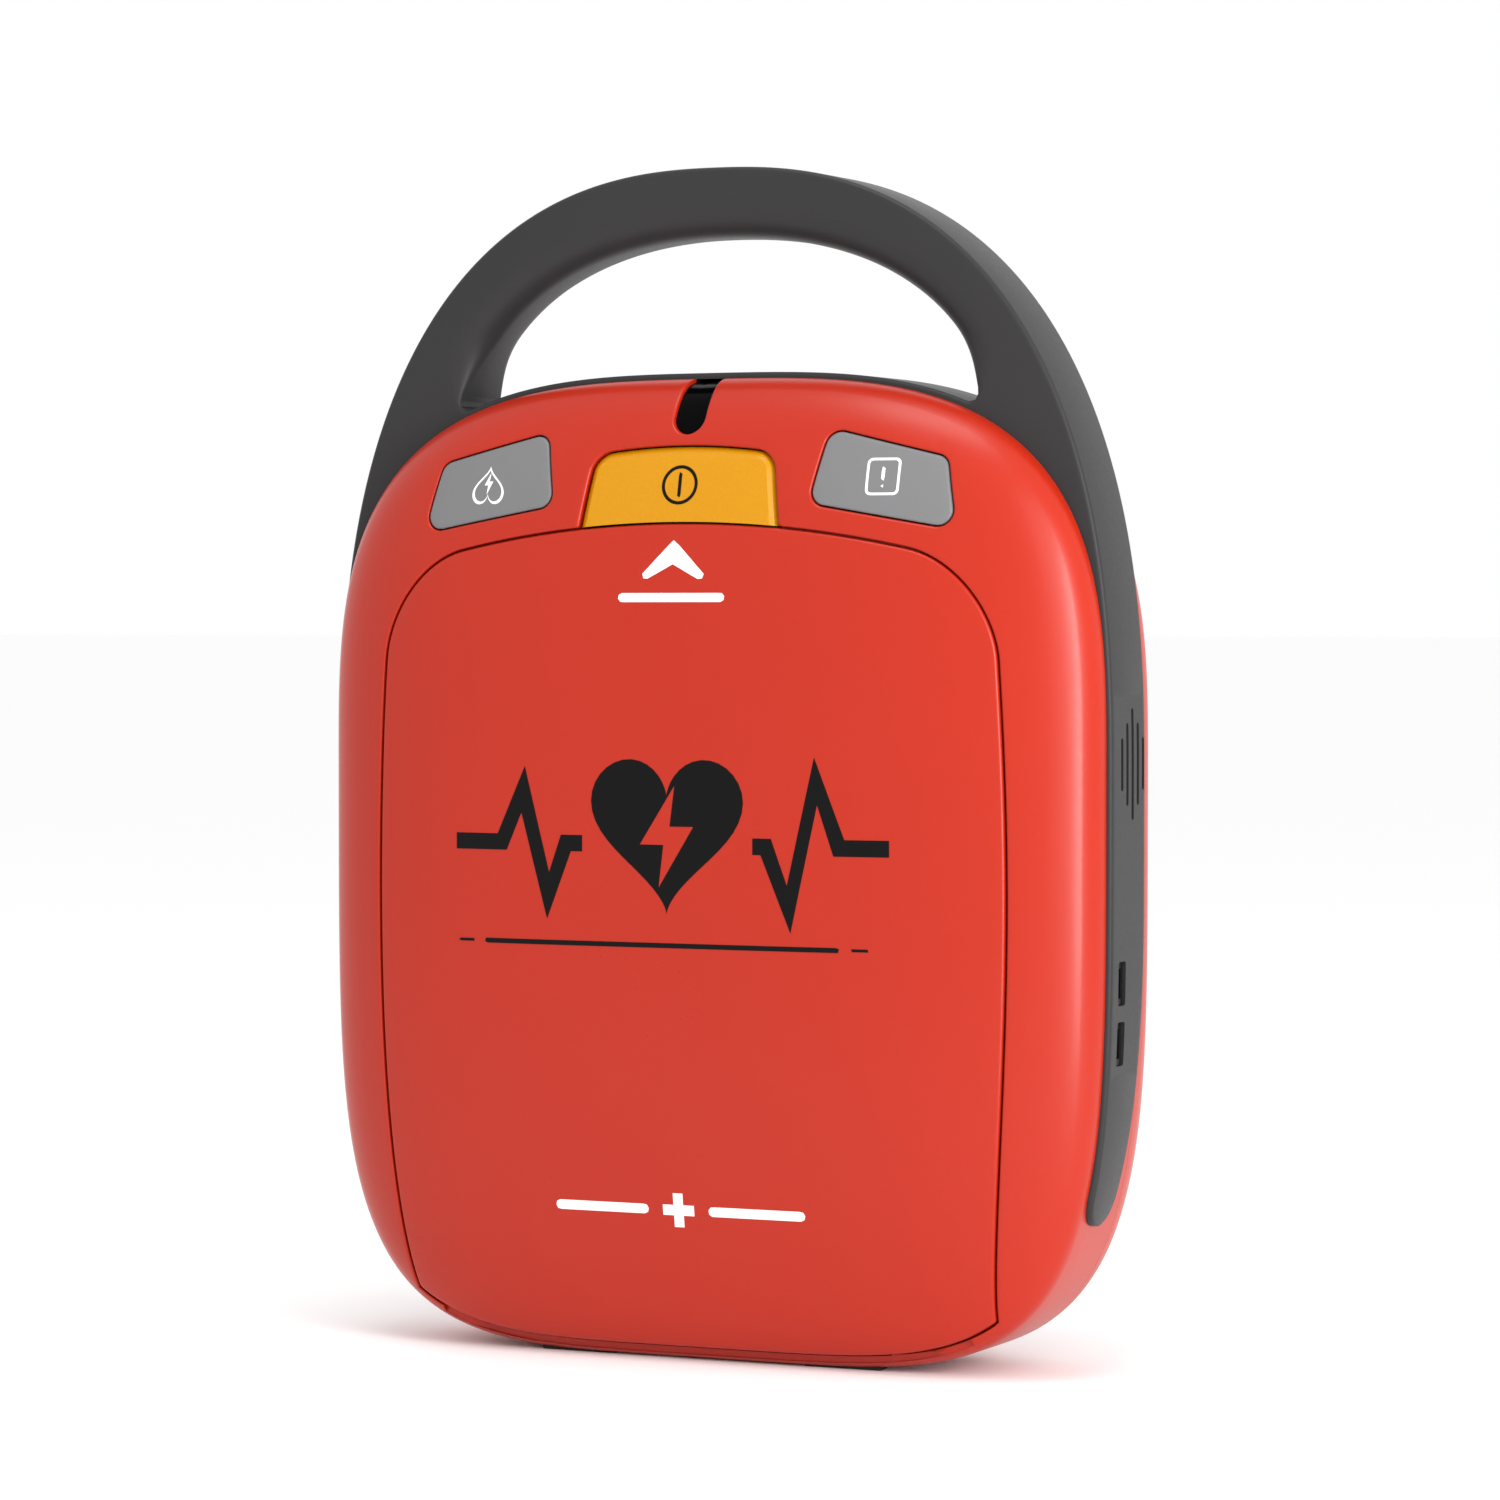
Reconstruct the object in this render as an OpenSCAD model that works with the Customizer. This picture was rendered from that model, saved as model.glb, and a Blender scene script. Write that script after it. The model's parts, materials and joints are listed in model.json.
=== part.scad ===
// Portable automated external defibrillator: a crowned two-part case with a carrying
// handle band, a hinged front lid over the electrode bay, three buttons, a removable
// battery pack and the electronics inside. +Z is up, the lid faces -Y, and the origin
// is on the standing surface at the centre of the object's box.

/* [Case] */
// Width of the red case
case_w = 208; // [206:0.5:210]
// Height of the crest of the case above the standing surface
case_h = 242; // [241:0.5:243]
// Depth of the straight middle of the case, which is also the depth of the handle band
band_d = 23; // [22.6:0.1:23.4]
// How far the front crown stands in front of the band
front_crown = 22.8; // [22.6:0.1:23]
// Distance from the middle of the band to the flat back
back_d = 39.5; // [39.3:0.1:39.8]
// Wall thickness of the front and rear case
wall = 3; // [2.9:0.05:3.1]

/* [Handle] */
// Overall height to the top of the handle
overall_h = 294; // [293:0.5:296]
// Width of the handle opening at its widest
opening_w = 144; // [142:0.5:145]
// Thickness of the grip at the top
grip_t = 17; // [16:0.25:18]
// How far the band stands proud of the case at its sides
band_proud = 1.4; // [1.2:0.1:1.5]

/* [Lid] */
// Height of the middle of the lid's top edge
lid_top = 206; // [205.5:0.1:206.2]
// Half the width of the lid at its widest
lid_half = 84.4; // [84:0.1:84.6]
// Thickness of the lid
lid_t = 2.6; // [2.5:0.05:2.7]
// Seam between the lid and the case
seam = 0.5; // [0.4:0.05:0.6]

/* [Buttons] */
// Half the width of the power button at its lower edge
power_half = 26.6; // [26:0.1:27]
// Height of the middle of the power button's top edge
power_top = 224.8; // [224:0.1:225]
// How far the power button travels
power_travel = 1.2; // [1:0.1:1.2]
// How far the shock and information buttons travel
side_travel = 1; // [0.6:0.1:1]

/* [Battery] */
// Width of the battery pack
pack_w = 107; // [106:0.2:108]
// Height of the battery pack
pack_h = 83.2; // [82.8:0.2:83.4]
// Number of cells side by side in each of the two rows
cells_across = 5; // [4:1:5]

/* [Hidden] */
$fn = 48;

// Colours
red = [0.80, 0.17, 0.11];
charcoal = [0.20, 0.20, 0.21];
grey = [0.56, 0.57, 0.57];
yellow = [0.93, 0.66, 0.10];
black = [0.06, 0.06, 0.07];
white = [0.86, 0.86, 0.84];
steel = [0.62, 0.63, 0.65];
board_green = [0.07, 0.30, 0.18];
gold = [0.80, 0.62, 0.25];
foil = [0.78, 0.80, 0.83];

// The outline of the case is a superellipse: squarer below its widest level than above
widest_z = 146;
top_h = case_h - widest_z;
base_h = widest_z;
n_top = 3.2;
n_base = 4.6;
rear_crown = 30;
half_band = band_d / 2;
rear_pad_proud = 0.8;
foot_proud = 0.6;
// The middle of the band, placed so that the whole object's box is centred in Y
mid_y = (half_band + front_crown - back_d - rear_pad_proud) / 2;
front_y = mid_y - half_band - front_crown;
parting_y = mid_y + half_band;
back_y = mid_y + back_d;

// Depth behind the foremost point of the lid
function depth(d) = front_y + d;

// Case outline, drawn in by d, at the direction t seen from the front
function reach(t, n) = pow(pow(abs(cos(t)), n) + pow(abs(sin(t)), n), -1 / n);
function rim(t, d) =
    let (up = sin(t) >= 0, n = up ? n_top : n_base, v = (up ? top_h : base_h) - d)
    [(case_w / 2 - d) * cos(t) * reach(t, n), v * sin(t) * reach(t, n)];

// A shape drawn in X and Z, given thickness from y0 to y1
module slab(y0, y1) {
    translate([0, y1, 0]) rotate([90, 0, 0]) linear_extrude(y1 - y0) children();
}
// A block from one corner to the other
module block(a, b) {
    translate(a) cube(b - a);
}
// A round bar along Y from y0 to y1
module peg(x, z, y0, y1, r) {
    translate([x, y1, z]) rotate([90, 0, 0]) cylinder(r = r, h = y1 - y0);
}
// A round bar along X from x0 to x1
module bar(y, z, x0, x1, r) {
    translate([x0, y, z]) rotate([0, 90, 0]) cylinder(r = r, h = x1 - x0);
}
module both_sides() {
    children();
    mirror([1, 0, 0]) children();
}
module rounded(x0, z0, x1, z1, r) {
    hull() {
        for (x = [x0 + r, x1 - r], z = [z0 + r, z1 - r]) translate([x, z]) circle(r);
    }
}
module outline(d, share = 1, facets = 64) {
    translate([0, widest_z]) polygon([for (i = [0:facets - 1]) share * rim(360 * i / facets, d)]);
}

// One crowned half of the case, drawn in by d: straight from y = back to the band's edge,
// then rounding over to a crown. It faces -Y.
module crowned(d, crown, m, q, back, facets = 64, rings = 8) {
    lip = [[1, back]];
    dome = [for (k = [0:rings - 1]) let (a = 90 * (1 - k / rings))
        [pow(sin(a), 2 / m), -half_band - (crown - d) * pow(cos(a), 2 / q)]];
    levels = concat(lip, dome);
    last = len(levels) - 1;
    points = concat(
        [for (l = levels, i = [0:facets - 1]) let (p = rim(360 * i / facets, d))
            [l[0] * p[0], l[1], widest_z + l[0] * p[1]]],
        [[0, -half_band - crown + d, widest_z]]
    );
    walls = [for (k = [0:last - 1], i = [0:facets - 1]) let (j = (i + 1) % facets)
        each [
            [k * facets + i, (k + 1) * facets + i, (k + 1) * facets + j],
            [k * facets + i, (k + 1) * facets + j, k * facets + j]
        ]];
    tip = [for (i = [0:facets - 1]) [(last + 1) * facets, last * facets + (i + 1) % facets, last * facets + i]];
    cap = [[for (i = [0:facets - 1]) i]];
    translate([0, mid_y, 0]) polyhedron(points, concat(walls, tip, cap));
}
module front_dome(d, back = half_band) {
    crowned(d, front_crown, 3, 2.2, back);
}
module rear_dome(d) {
    intersection() {
        translate([0, 2 * mid_y, 0]) mirror([0, 1, 0]) crowned(d, rear_crown, 3.1, 2.6, -half_band + 0.01);
        block([-case_w, parting_y, foot_proud + d], [case_w, back_y - d, case_h]);
    }
}
// A shell between two depths under the front surface
module front_shell(d0, d1) {
    difference() {
        front_dome(d0);
        front_dome(d1, half_band + 1);
    }
}

// ---------------------------------------------------------------- lid and hinge
lid_arc = 286;
lid_side_arc = 850;
lid_side_z = 115;
lid_corner = 20;
lid_share = 0.976;
sill = 3.3;
sill_t = 2;
hinge_y = mid_y - 16.8;
hinge_z = 7;
channel_r = 4.4;
channel_half = 50;
channel_end_r = 2.9;
channel_end_half = 60;
groove_half = 72;
groove_w = 2.1;
knuckle_r = 2.3;
knuckle_in = 22;
knuckle_w = 22;
case_knuckle_w = 6;
end_gap = 0.3;
hinge_pin_r = 1.1;
hinge_play = 0.06;
keeper_x = 45;
keeper_z = 194;
keeper_r = 4;
keeper_d = 3.6;

// The lid seen from the front, grown by g
module lid_outline(g = 0) {
    intersection() {
        offset(lid_corner + g) offset(-lid_corner) intersection() {
            translate([0, lid_top - lid_arc]) circle(lid_arc, $fn = 300);
            translate([lid_half - lid_side_arc, lid_side_z]) circle(lid_side_arc, $fn = 390);
            translate([lid_side_arc - lid_half, lid_side_z]) circle(lid_side_arc, $fn = 390);
            translate([-case_w / 2, -lid_corner]) square([case_w, case_h]);
        }
        outline(-g, lid_share, 60);
    }
}
// Where the lid's own knuckle lies between the two of the case
lid_span = [knuckle_in + case_knuckle_w + end_gap, knuckle_in + knuckle_w - case_knuckle_w - end_gap];

module lid() {
    color(red) resize([0, 0, 0]) difference() {
        intersection() {
            slab(front_y - 1, hinge_y + 1) lid_outline();
            front_shell(0, lid_t);
        }
        both_sides() {
            bar(hinge_y, hinge_z, knuckle_in - end_gap, knuckle_in + knuckle_w + end_gap, knuckle_r + 0.02);
            bar(hinge_y, hinge_z, knuckle_in - end_gap, lid_span[0], knuckle_r + end_gap);
            bar(hinge_y, hinge_z, lid_span[1], knuckle_in + knuckle_w + end_gap, knuckle_r + end_gap);
            peg(keeper_x, keeper_z, depth(keeper_d), depth(8), keeper_r + 0.1);
        }
    }
}
module lid_keepers() {
    color(steel) both_sides() peg(keeper_x, keeper_z, depth(keeper_d), depth(keeper_d + 1), keeper_r);
}
// Lid side of the hinge: a knuckle bonded in a seat inside the lower edge of the lid
module lid_knuckles() {
    color(red) both_sides() difference() {
        bar(hinge_y, hinge_z, lid_span[0], lid_span[1], knuckle_r);
        bar(hinge_y, hinge_z, lid_span[0] - 1, lid_span[1] + 1, hinge_pin_r + hinge_play);
    }
}
// Thin foam strip along the inside of the lid, over the rim of the tray
module lid_gasket() {
    color(black) resize([0, 0, 0]) intersection() {
        slab(front_y - 1, mid_y) difference() {
            rounded(-72, 34, 72, 186, 9, $fn = 20);
            rounded(-69.5, 36.5, 69.5, 183.5, 7, $fn = 20);
        }
        front_shell(lid_t, lid_t + 0.5);
    }
}
// Case side of the hinge: two knuckles for each pin, webbed to the back of the channel
module hinge_blocks() {
    color(red) both_sides() {
        for (x0 = [knuckle_in, knuckle_in + knuckle_w - case_knuckle_w]) difference() {
            x1 = x0 + case_knuckle_w;
            intersection() {
                union() {
                    bar(hinge_y, hinge_z, x0, x1, knuckle_r);
                    block([x0, hinge_y, hinge_z + 1.9], [x1, hinge_y + 5, hinge_z + channel_r]);
                }
                bar(hinge_y, hinge_z, x0, x1, channel_r - 0.02);
            }
            bar(hinge_y, hinge_z, x0 - 1, x1 + 1, hinge_pin_r);
        }
    }
}
module hinge_pins() {
    color(steel) both_sides() bar(hinge_y, hinge_z, knuckle_in, knuckle_in + knuckle_w, hinge_pin_r);
}
module case_magnets() {
    color(steel) both_sides() peg(keeper_x, keeper_z, depth(9.4), depth(12.4), keeper_r);
}

// ---------------------------------------------------------------- handle band
handle_n = 2.45;
handle_rise = overall_h - widest_z;
opening_z = 225;
opening_rise = overall_h - grip_t - opening_z;
opening_n = 2.2;
strip_t = 1.5;
tongue_tip_z = 36.8;
tongue_arc = 400;
tongue_full_z = 115;
port_y = mid_y - 4.1;
port_half_w = 2.4;
port_half_h = 5.3;
port_z = [95.5, 81];
grille_z = 148;
grille_y = mid_y + 2.4;
grille_pitch = 3.5;
slot_w = 1.5;
slot_half = [6.4, 10, 13.5, 10, 6.4];

function arch(t, w, h, n) = [w * cos(t) * reach(t, n), h * sin(t) * reach(t, n)];

module band_outside(facets = 64) {
    translate([0, widest_z]) polygon(concat(
        [for (i = [0:facets]) arch(180 * i / facets, case_w / 2 + band_proud, handle_rise, handle_n)],
        [for (i = [1:facets / 2 - 1]) rim(180 + 360 * i / facets, -band_proud)]
    ));
}
module handle_opening() {
    offset(4) offset(-4) difference() {
        translate([0, opening_z]) polygon([for (i = [0:119]) arch(3 * i, opening_w / 2, opening_rise, opening_n)]);
        outline(-strip_t);
    }
}
// The band seen from the side: straight at the front, drawn in towards a round tip at the back
module tongue_side() {
    offset(8) offset(-8) intersection() {
        translate([mid_y - half_band, tongue_tip_z]) square([band_d, overall_h]);
        union() {
            translate([parting_y - tongue_arc, tongue_full_z]) circle(tongue_arc, $fn = 360);
            translate([mid_y - half_band, tongue_full_z]) square([band_d, overall_h]);
        }
    }
}
module band_blank() {
    intersection() {
        slab(mid_y - half_band, parting_y) difference() {
            band_outside();
            outline(band_proud);
            handle_opening();
        }
        rotate([90, 0, 90]) translate([0, 0, -case_w]) linear_extrude(2 * case_w) tongue_side();
    }
}
module grille_slots(x0, x1) {
    for (i = [0:4]) {
        y = grille_y + (i - 2) * grille_pitch;
        block([x0, y - slot_w / 2, grille_z - slot_half[i]], [x1, y + slot_w / 2, grille_z + slot_half[i]]);
    }
}
module port_holes(x0, x1) {
    for (z = port_z) block([x0, port_y - port_half_w, z - port_half_h], [x1, port_y + port_half_w, z + port_half_h]);
}
module handle_band() {
    color(charcoal) difference() {
        resize([0, 0, 0]) band_blank();
        grille_slots(98, 110);
        port_holes(98, 110);
    }
}

// ---------------------------------------------------------------- cases
post_at = [[76, 210], [93.5, 112], [80, 28]];
post_r = 3.5;
rear_post_r = 4.5;
post_front_y = mid_y - 6;
screw_r = 1.4;
pilot_r = 1.6;
screw_seat_y = parting_y + 4;
screw_head_r = 2.9;
foot_y = [mid_y - 11, mid_y + 14.5];
foot_half = [10, 2.4];
foot_in = 26;
lens_half = 4.1;
lens_z = 228;
button_play = 0.35;
flange = 1.4;
window_r = 3.5;
tray_half = 74;
tray_z = [32, 188];
tray_r = 10;
tray_t = 1.8;
tray_floor = 16;
pack_z = 26.4;
bay_play = 0.4;
bay_front = 47;
bay_wall = 2;
latch_half = 13;

module posts(r, y0, y1) {
    both_sides() for (p = post_at) peg(p[0], p[1], y0, y1, r);
}
// Ribs that join the posts to the side walls
module post_ribs() {
    both_sides() for (p = post_at) {
        turn = atan2(p[1] - widest_z, p[0]) / (p[1] > 150 || p[1] < 80 ? 1.25 : 20);
        translate([p[0], 0, p[1]]) rotate([0, -turn, 0]) block([0, post_front_y, -1.2], [30, parting_y - 1.2, 1.2]);
    }
}
// The power button seen from the front, grown by g; its lower edge follows the lid
module power_outline(g = 0) {
    difference() {
        offset(4 + g) offset(-4) intersection() {
            polygon([[-power_half - 3, 185], [power_half + 3, 185], [power_half - 3.6, 229], [3.6 - power_half, 229]]);
            translate([0, power_top - 160]) circle(160, $fn = 240);
        }
        translate([0, lid_top - lid_arc]) circle(lid_arc + seam - g, $fn = 300);
    }
}
// The right-hand window button, grown by g
module window_outline(g = 0) {
    offset(window_r + g) offset(-window_r) polygon([[34.6, 210.8], [38.2, 228.7], [68, 221.5], [71.6, 204.4]]);
}
module lens_outline(g = 0) {
    hull() {
        translate([0, lens_z + lens_half]) circle(lens_half + g);
        translate([0, case_h + 10]) circle(lens_half + g);
    }
}
module feet(z0, z1) {
    both_sides() for (y = foot_y) block([foot_in, y - foot_half[1], z0], [foot_in + 2 * foot_half[0], y + foot_half[1], z1]);
}

module front_case() {
    color(red) resize([0, 0, 0]) difference() {
        union() {
            front_shell(0, wall);
            // Sill behind the lid, and the trough around the hinge
            intersection() {
                slab(front_y - 1, mid_y) lid_outline(wall);
                front_shell(wall - 0.1, sill + sill_t);
            }
            intersection() {
                bar(hinge_y, hinge_z, -channel_half - 2, channel_half + 2, channel_r + 1.6);
                front_dome(0.5);
            }
            intersection() {
                union() {
                    posts(post_r, post_front_y, parting_y, $fn = 24);
                    post_ribs();
                }
                front_dome(1);
            }
        }
        // Room for the lid, its hinge and the tray
        difference() {
            slab(front_y - 1, mid_y) lid_outline(seam);
            front_dome(sill);
        }
        bar(hinge_y, hinge_z, -channel_half, channel_half, channel_r);
        bar(hinge_y, hinge_z, -channel_end_half, channel_end_half, channel_end_r);
        // Groove that the lower edge of the lid swings through
        slab(front_y - 1, hinge_y + 0.8) intersection() {
            lid_outline(groove_w);
            translate([-groove_half, 0]) square([2 * groove_half, 14]);
        }
        slab(front_y - 1, mid_y - 2) rounded(-tray_half - 0.3, tray_z[0] - 0.3, tray_half + 0.3, tray_z[1] + 0.3, tray_r);
        // Buttons with their hidden flanges, and the lens
        slab(front_y - 1, depth(18)) power_outline(button_play);
        both_sides() slab(front_y - 1, depth(18)) window_outline(button_play);
        difference() {
            slab(front_y - 1, depth(18)) {
                power_outline(flange + 0.4);
                window_outline(flange + 0.4);
                mirror([1, 0]) window_outline(flange + 0.4);
            }
            front_dome(-5, half_band + 5);
        }
        intersection() {
            slab(front_y - 1, depth(18)) power_outline(flange + 0.4);
            front_dome(wall + 0.2);
        }
        slab(front_y - 1, mid_y - 13.9) lens_outline(0.1);
        // Seat of the band, grille, ports, screw pilots and feet
        band_blank();
        grille_slots(98, 110);
        port_holes(98, 110);
        posts(pilot_r, mid_y - 3, parting_y + 1, $fn = 24);
        block([-case_w, front_y, -1], [case_w, back_y, foot_proud]);
        feet(-1, 1.6);
    }
}

module rear_case() {
    bay = [pack_w / 2 + bay_play, pack_z - bay_play, pack_z + pack_h + bay_play];
    color(red) resize([0, 0, 0]) difference() {
        union() {
            difference() {
                rear_dome(0);
                translate([0, -0.01, 0]) rear_dome(wall - 0.4);
            }
            intersection() {
                union() {
                    posts(rear_post_r, parting_y, back_y, $fn = 24);
                    block([-bay[0] - bay_wall, depth(bay_front - bay_wall), bay[1] - bay_wall],
                        [bay[0] + bay_wall, back_y, bay[2] + bay_wall]);
                }
                rear_dome(0.5);
            }
        }
        block([-bay[0], depth(bay_front), bay[1]], [bay[0], back_y + 1, bay[2]]);
        // Slots for the battery socket's blades, and the notch over the latch
        for (x = [-12, 0, 12]) block([x - 1.5, depth(bay_front - 3), 61], [x + 1.5, depth(bay_front + 1), 69]);
        block([-latch_half - 0.5, depth(64), bay[2] - 1], [latch_half + 0.5, back_y + 1, bay[2] + 1.4]);
        posts(1.7, parting_y - 1, back_y, $fn = 24);
        posts(3.3, screw_seat_y, back_y + 1, $fn = 32);
        block([-26, back_y - 0.6, 130], [26, back_y + 1, 180]);
        both_sides() peg(42, 180, back_y - 1, back_y + 1, 6.1);
        feet(-1, 1.6);
    }
}
module case_gasket() {
    color(black) slab(parting_y - 1, parting_y + 1) difference() {
        outline(wall + 0.3);
        outline(wall + 1.4);
    }
}
module case_screws() {
    color(steel) {
        posts(screw_head_r, screw_seat_y, screw_seat_y + 2);
        posts(screw_r, mid_y - 2, screw_seat_y);
    }
}
module label_plate() {
    color(white) block([-26, back_y - 0.6, 130], [26, back_y, 180]);
}
module rear_pads() {
    color(black) both_sides() peg(42, 180, back_y - 1, back_y + rear_pad_proud, 6);
}
module base_feet() {
    color(black) feet(0, 1.6);
}

// ---------------------------------------------------------------- buttons and lens
switch_board = 17;
switch_top = 14.1;
press_gap = 0.1;
board_t = 1.6;
window_at = [53, 216];
power_at = [0, 215];

// A cap that follows the crown, with a flange behind the case wall and a stem that
// reaches to its travel's length from the switch
module cap(at, travel) {
    intersection() {
        slab(front_y - 1, mid_y) children(0);
        front_shell(0.1, 4.8);
    }
    intersection() {
        slab(front_y - 1, mid_y) children(1);
        front_shell(sill + 0.2, 4.8);
    }
    peg(at[0], at[1], depth(7.5), depth(switch_top - travel - press_gap), 2.2);
}
module power_button() {
    color(yellow) resize([0, 0, 0]) cap(power_at, power_travel) {
        power_outline();
        power_outline(flange);
    }
}
module window_button() {
    resize([0, 0, 0]) cap(window_at, side_travel) {
        window_outline();
        window_outline(flange);
    }
}
module info_button() {
    color(grey) window_button();
}
module shock_button() {
    color(grey) mirror([1, 0, 0]) window_button();
}
module power_button_spring() {
    color(steel) difference() {
        peg(power_at[0], power_at[1], depth(11.2), depth(switch_board), 5.8);
        peg(power_at[0], power_at[1], depth(10), depth(switch_board + 1), 5);
    }
}
module tact_switches() {
    color(black) for (at = [power_at, window_at, [-window_at[0], window_at[1]]]) {
        block([at[0] - 3, depth(14.6), at[1] - 3], [at[0] + 3, depth(switch_board), at[1] + 3]);
        peg(at[0], at[1], depth(switch_top), depth(14.7), 1.6);
    }
}
module button_board() {
    color(board_green) {
        slab(depth(switch_board), depth(switch_board + board_t)) rounded(-62, 204, 62, 229, 8);
        both_sides() peg(40, 216, depth(switch_board + board_t), depth(20), 2.5);
    }
}
module status_lens() {
    color(black) resize([0, 0, 0]) intersection() {
        slab(front_y - 1, mid_y - 14) lens_outline();
        front_shell(0.4, wall);
    }
}
module status_led() {
    color(white) block([-2, depth(14.5), 225.5], [2, depth(switch_board), 228.5]);
}

// ---------------------------------------------------------------- electrode bay
module pads_tray() {
    color(charcoal) resize([0, 0, 0]) intersection() {
        union() {
            difference() {
                slab(front_y, depth(tray_floor + tray_t)) rounded(-tray_half, tray_z[0], tray_half, tray_z[1], tray_r);
                slab(front_y - 1, depth(tray_floor)) rounded(-tray_half + tray_t, tray_z[0] + tray_t,
                    tray_half - tray_t, tray_z[1] - tray_t, tray_r - tray_t);
            }
            both_sides() for (z = [50, 172]) peg(58, z, depth(tray_floor), depth(20), 3);
        }
        front_dome(lid_t + 0.8);
    }
}
module pads_pouch() {
    color(foil) {
        slab(depth(12.2), depth(13)) rounded(-68, 50, 68, 183, 6);
        hull() {
            slab(depth(10.2), depth(15.4)) rounded(-54, 66, 54, 168, 12);
            slab(depth(11.8), depth(13.4)) rounded(-61, 58, 61, 175, 9);
        }
    }
}
module pads_socket() {
    color(black) difference() {
        block([20, depth(11.5), 36], [48, depth(tray_floor), 47]);
        block([23, depth(11), 39], [45, depth(14.5), 44]);
    }
}

// ---------------------------------------------------------------- electronics
frame_d = 20;
frame_t = 2;
board_d = 28;
hv_holes = [[58, 126], [58, 178]];
main_holes = [[64, 34], [64, 102]];

module standoffs(y0, y1, r) {
    both_sides() for (p = concat(hv_holes, main_holes)) peg(p[0], p[1], y0, y1, r);
}
module mid_frame() {
    color(white) difference() {
        union() {
            slab(depth(frame_d), depth(frame_d + frame_t)) intersection() {
                outline(9);
                rounded(-86, 20, 82, 232, 8);
            }
            standoffs(depth(frame_d + frame_t), depth(board_d), 3.2);
        }
        standoffs(depth(frame_d - 1), depth(board_d + 1), 1.2);
        posts(5, front_y, back_y);
        // Lightening windows
        for (x = [-52, 8], z = [60, 140]) slab(depth(frame_d - 1), depth(frame_d + frame_t + 1))
            rounded(x, z, x + 44, z + 26, 5);
    }
}
module main_board() {
    color(board_green) difference() {
        slab(depth(board_d), depth(board_d + board_t)) rounded(-73, 24, 73, 111, 3);
        standoffs(front_y, back_y, 1.5);
    }
}
module hv_board() {
    color(board_green) difference() {
        slab(depth(board_d), depth(board_d + board_t)) rounded(-69, 118, 69, 218, 3);
        standoffs(front_y, back_y, 1.5);
    }
}
module board_screws() {
    color(steel) {
        standoffs(depth(board_d + board_t), depth(board_d + board_t + 1.6), 2.6);
        standoffs(depth(frame_d + 2.4), depth(board_d + board_t), 1.2);
    }
}
// Processor, memory, power stage and two row connectors on the front of the main board
module board_chips() {
    chips = [[-40, 50, 14, 14, 1.4], [-12, 52, 12, 8, 1.2], [14, 80, 10, 10, 2.4], [40, 46, 18, 8, 3],
        [-46, 84, 20, 6, 3.6], [46, 90, 8, 8, 4]];
    color(black) for (c = chips)
        block([c[0], depth(board_d - c[4]), c[1]], [c[0] + c[2], depth(board_d), c[1] + c[3]]);
}
module ribbon_cable() {
    back = depth(board_d + board_t);
    color(grey) {
        block([-22, back, 103], [2, back + 4, 107]);
        block([-22, back, 121], [2, back + 4, 125]);
        block([-21, back + 4, 103], [1, back + 4.6, 125]);
    }
}
cap_r = 17;
cap_y = depth(51);
cap_z = 197;
cap_x = [-40, 40];
module energy_capacitor() {
    color(black) {
        bar(cap_y, cap_z, cap_x[0], cap_x[1], cap_r);
        bar(cap_y - 8, cap_z, cap_x[1], cap_x[1] + 5, 2.5);
        bar(cap_y + 8, cap_z, cap_x[1], cap_x[1] + 5, 2.5);
    }
}
module capacitor_clamps() {
    color(steel) for (x = [-26, 20]) difference() {
        union() {
            bar(cap_y, cap_z, x, x + 8, cap_r + 1.2);
            block([x, depth(board_d + board_t), cap_z - 15], [x + 8, cap_y - 8, cap_z + 15]);
        }
        bar(cap_y, cap_z, x - 1, x + 9, cap_r);
    }
}
module hv_transformer() {
    y0 = depth(board_d + board_t);
    color(charcoal) {
        block([-66, y0, 136], [-34, y0 + 24, 144]);
        block([-60, y0 + 2, 132], [-40, y0 + 22, 162]);
        block([-66, y0, 150], [-34, y0 + 24, 158]);
    }
}
module output_relays() {
    y0 = depth(board_d + board_t);
    color(black) for (x = [-24, 2]) block([x, y0, 146], [x + 20, y0 + 16, 160]);
}
module heat_sink() {
    y0 = depth(board_d + board_t);
    color(steel) {
        block([32, y0, 134], [56, y0 + 3, 166]);
        for (i = [0:5]) block([32 + 4.4 * i, y0 + 3, 134], [34 + 4.4 * i, y0 + 17, 166]);
    }
}
module power_transistors() {
    y0 = depth(board_d + board_t);
    color(black) for (z = [135, 147, 158]) block([25, y0, z], [31, y0 + 10, z + 8]);
}
speaker_x = 98;
module speaker() {
    color(charcoal) {
        bar(grille_y, grille_z, speaker_x - 5, speaker_x, 18);
        bar(grille_y, grille_z, speaker_x - 12, speaker_x - 5, 11);
    }
}
module speaker_gasket() {
    color(black) difference() {
        bar(grille_y, grille_z, speaker_x, speaker_x + 1.2, 17);
        bar(grille_y, grille_z, speaker_x - 1, speaker_x + 2, 14.5);
    }
}
module port_plug(z, x1) {
    color(black) difference() {
        block([94, port_y - port_half_w + 0.1, z - port_half_h + 0.1], [x1, port_y + port_half_w - 0.1, z + port_half_h - 0.1]);
        block([x1 - 2, port_y - 1.2, z - 3.6], [x1 + 1, port_y + 1.2, z + 3.6]);
    }
}
module data_port_plug() {
    port_plug(port_z[0], 104.4);
}
module service_port_plug() {
    port_plug(port_z[1], 104);
}
module port_board() {
    color(board_green) block([94 - board_t, mid_y - 14, 72], [94, mid_y + 8, 104]);
}

// ---------------------------------------------------------------- battery
pack_top = pack_z + pack_h;
pack_front = bay_front + 0.4;
pack_wall = 1.8;
cell_r = 8.4;
cell_pitch = 18;
cell_h = 34.4;
cell_d = pack_front + 2 * pack_wall + cell_r + 0.2;
latch_travel = 2.5;
latch_z = [103, 108.6];
spring_d = 70.8;
spring_len = 6.3;

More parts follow.
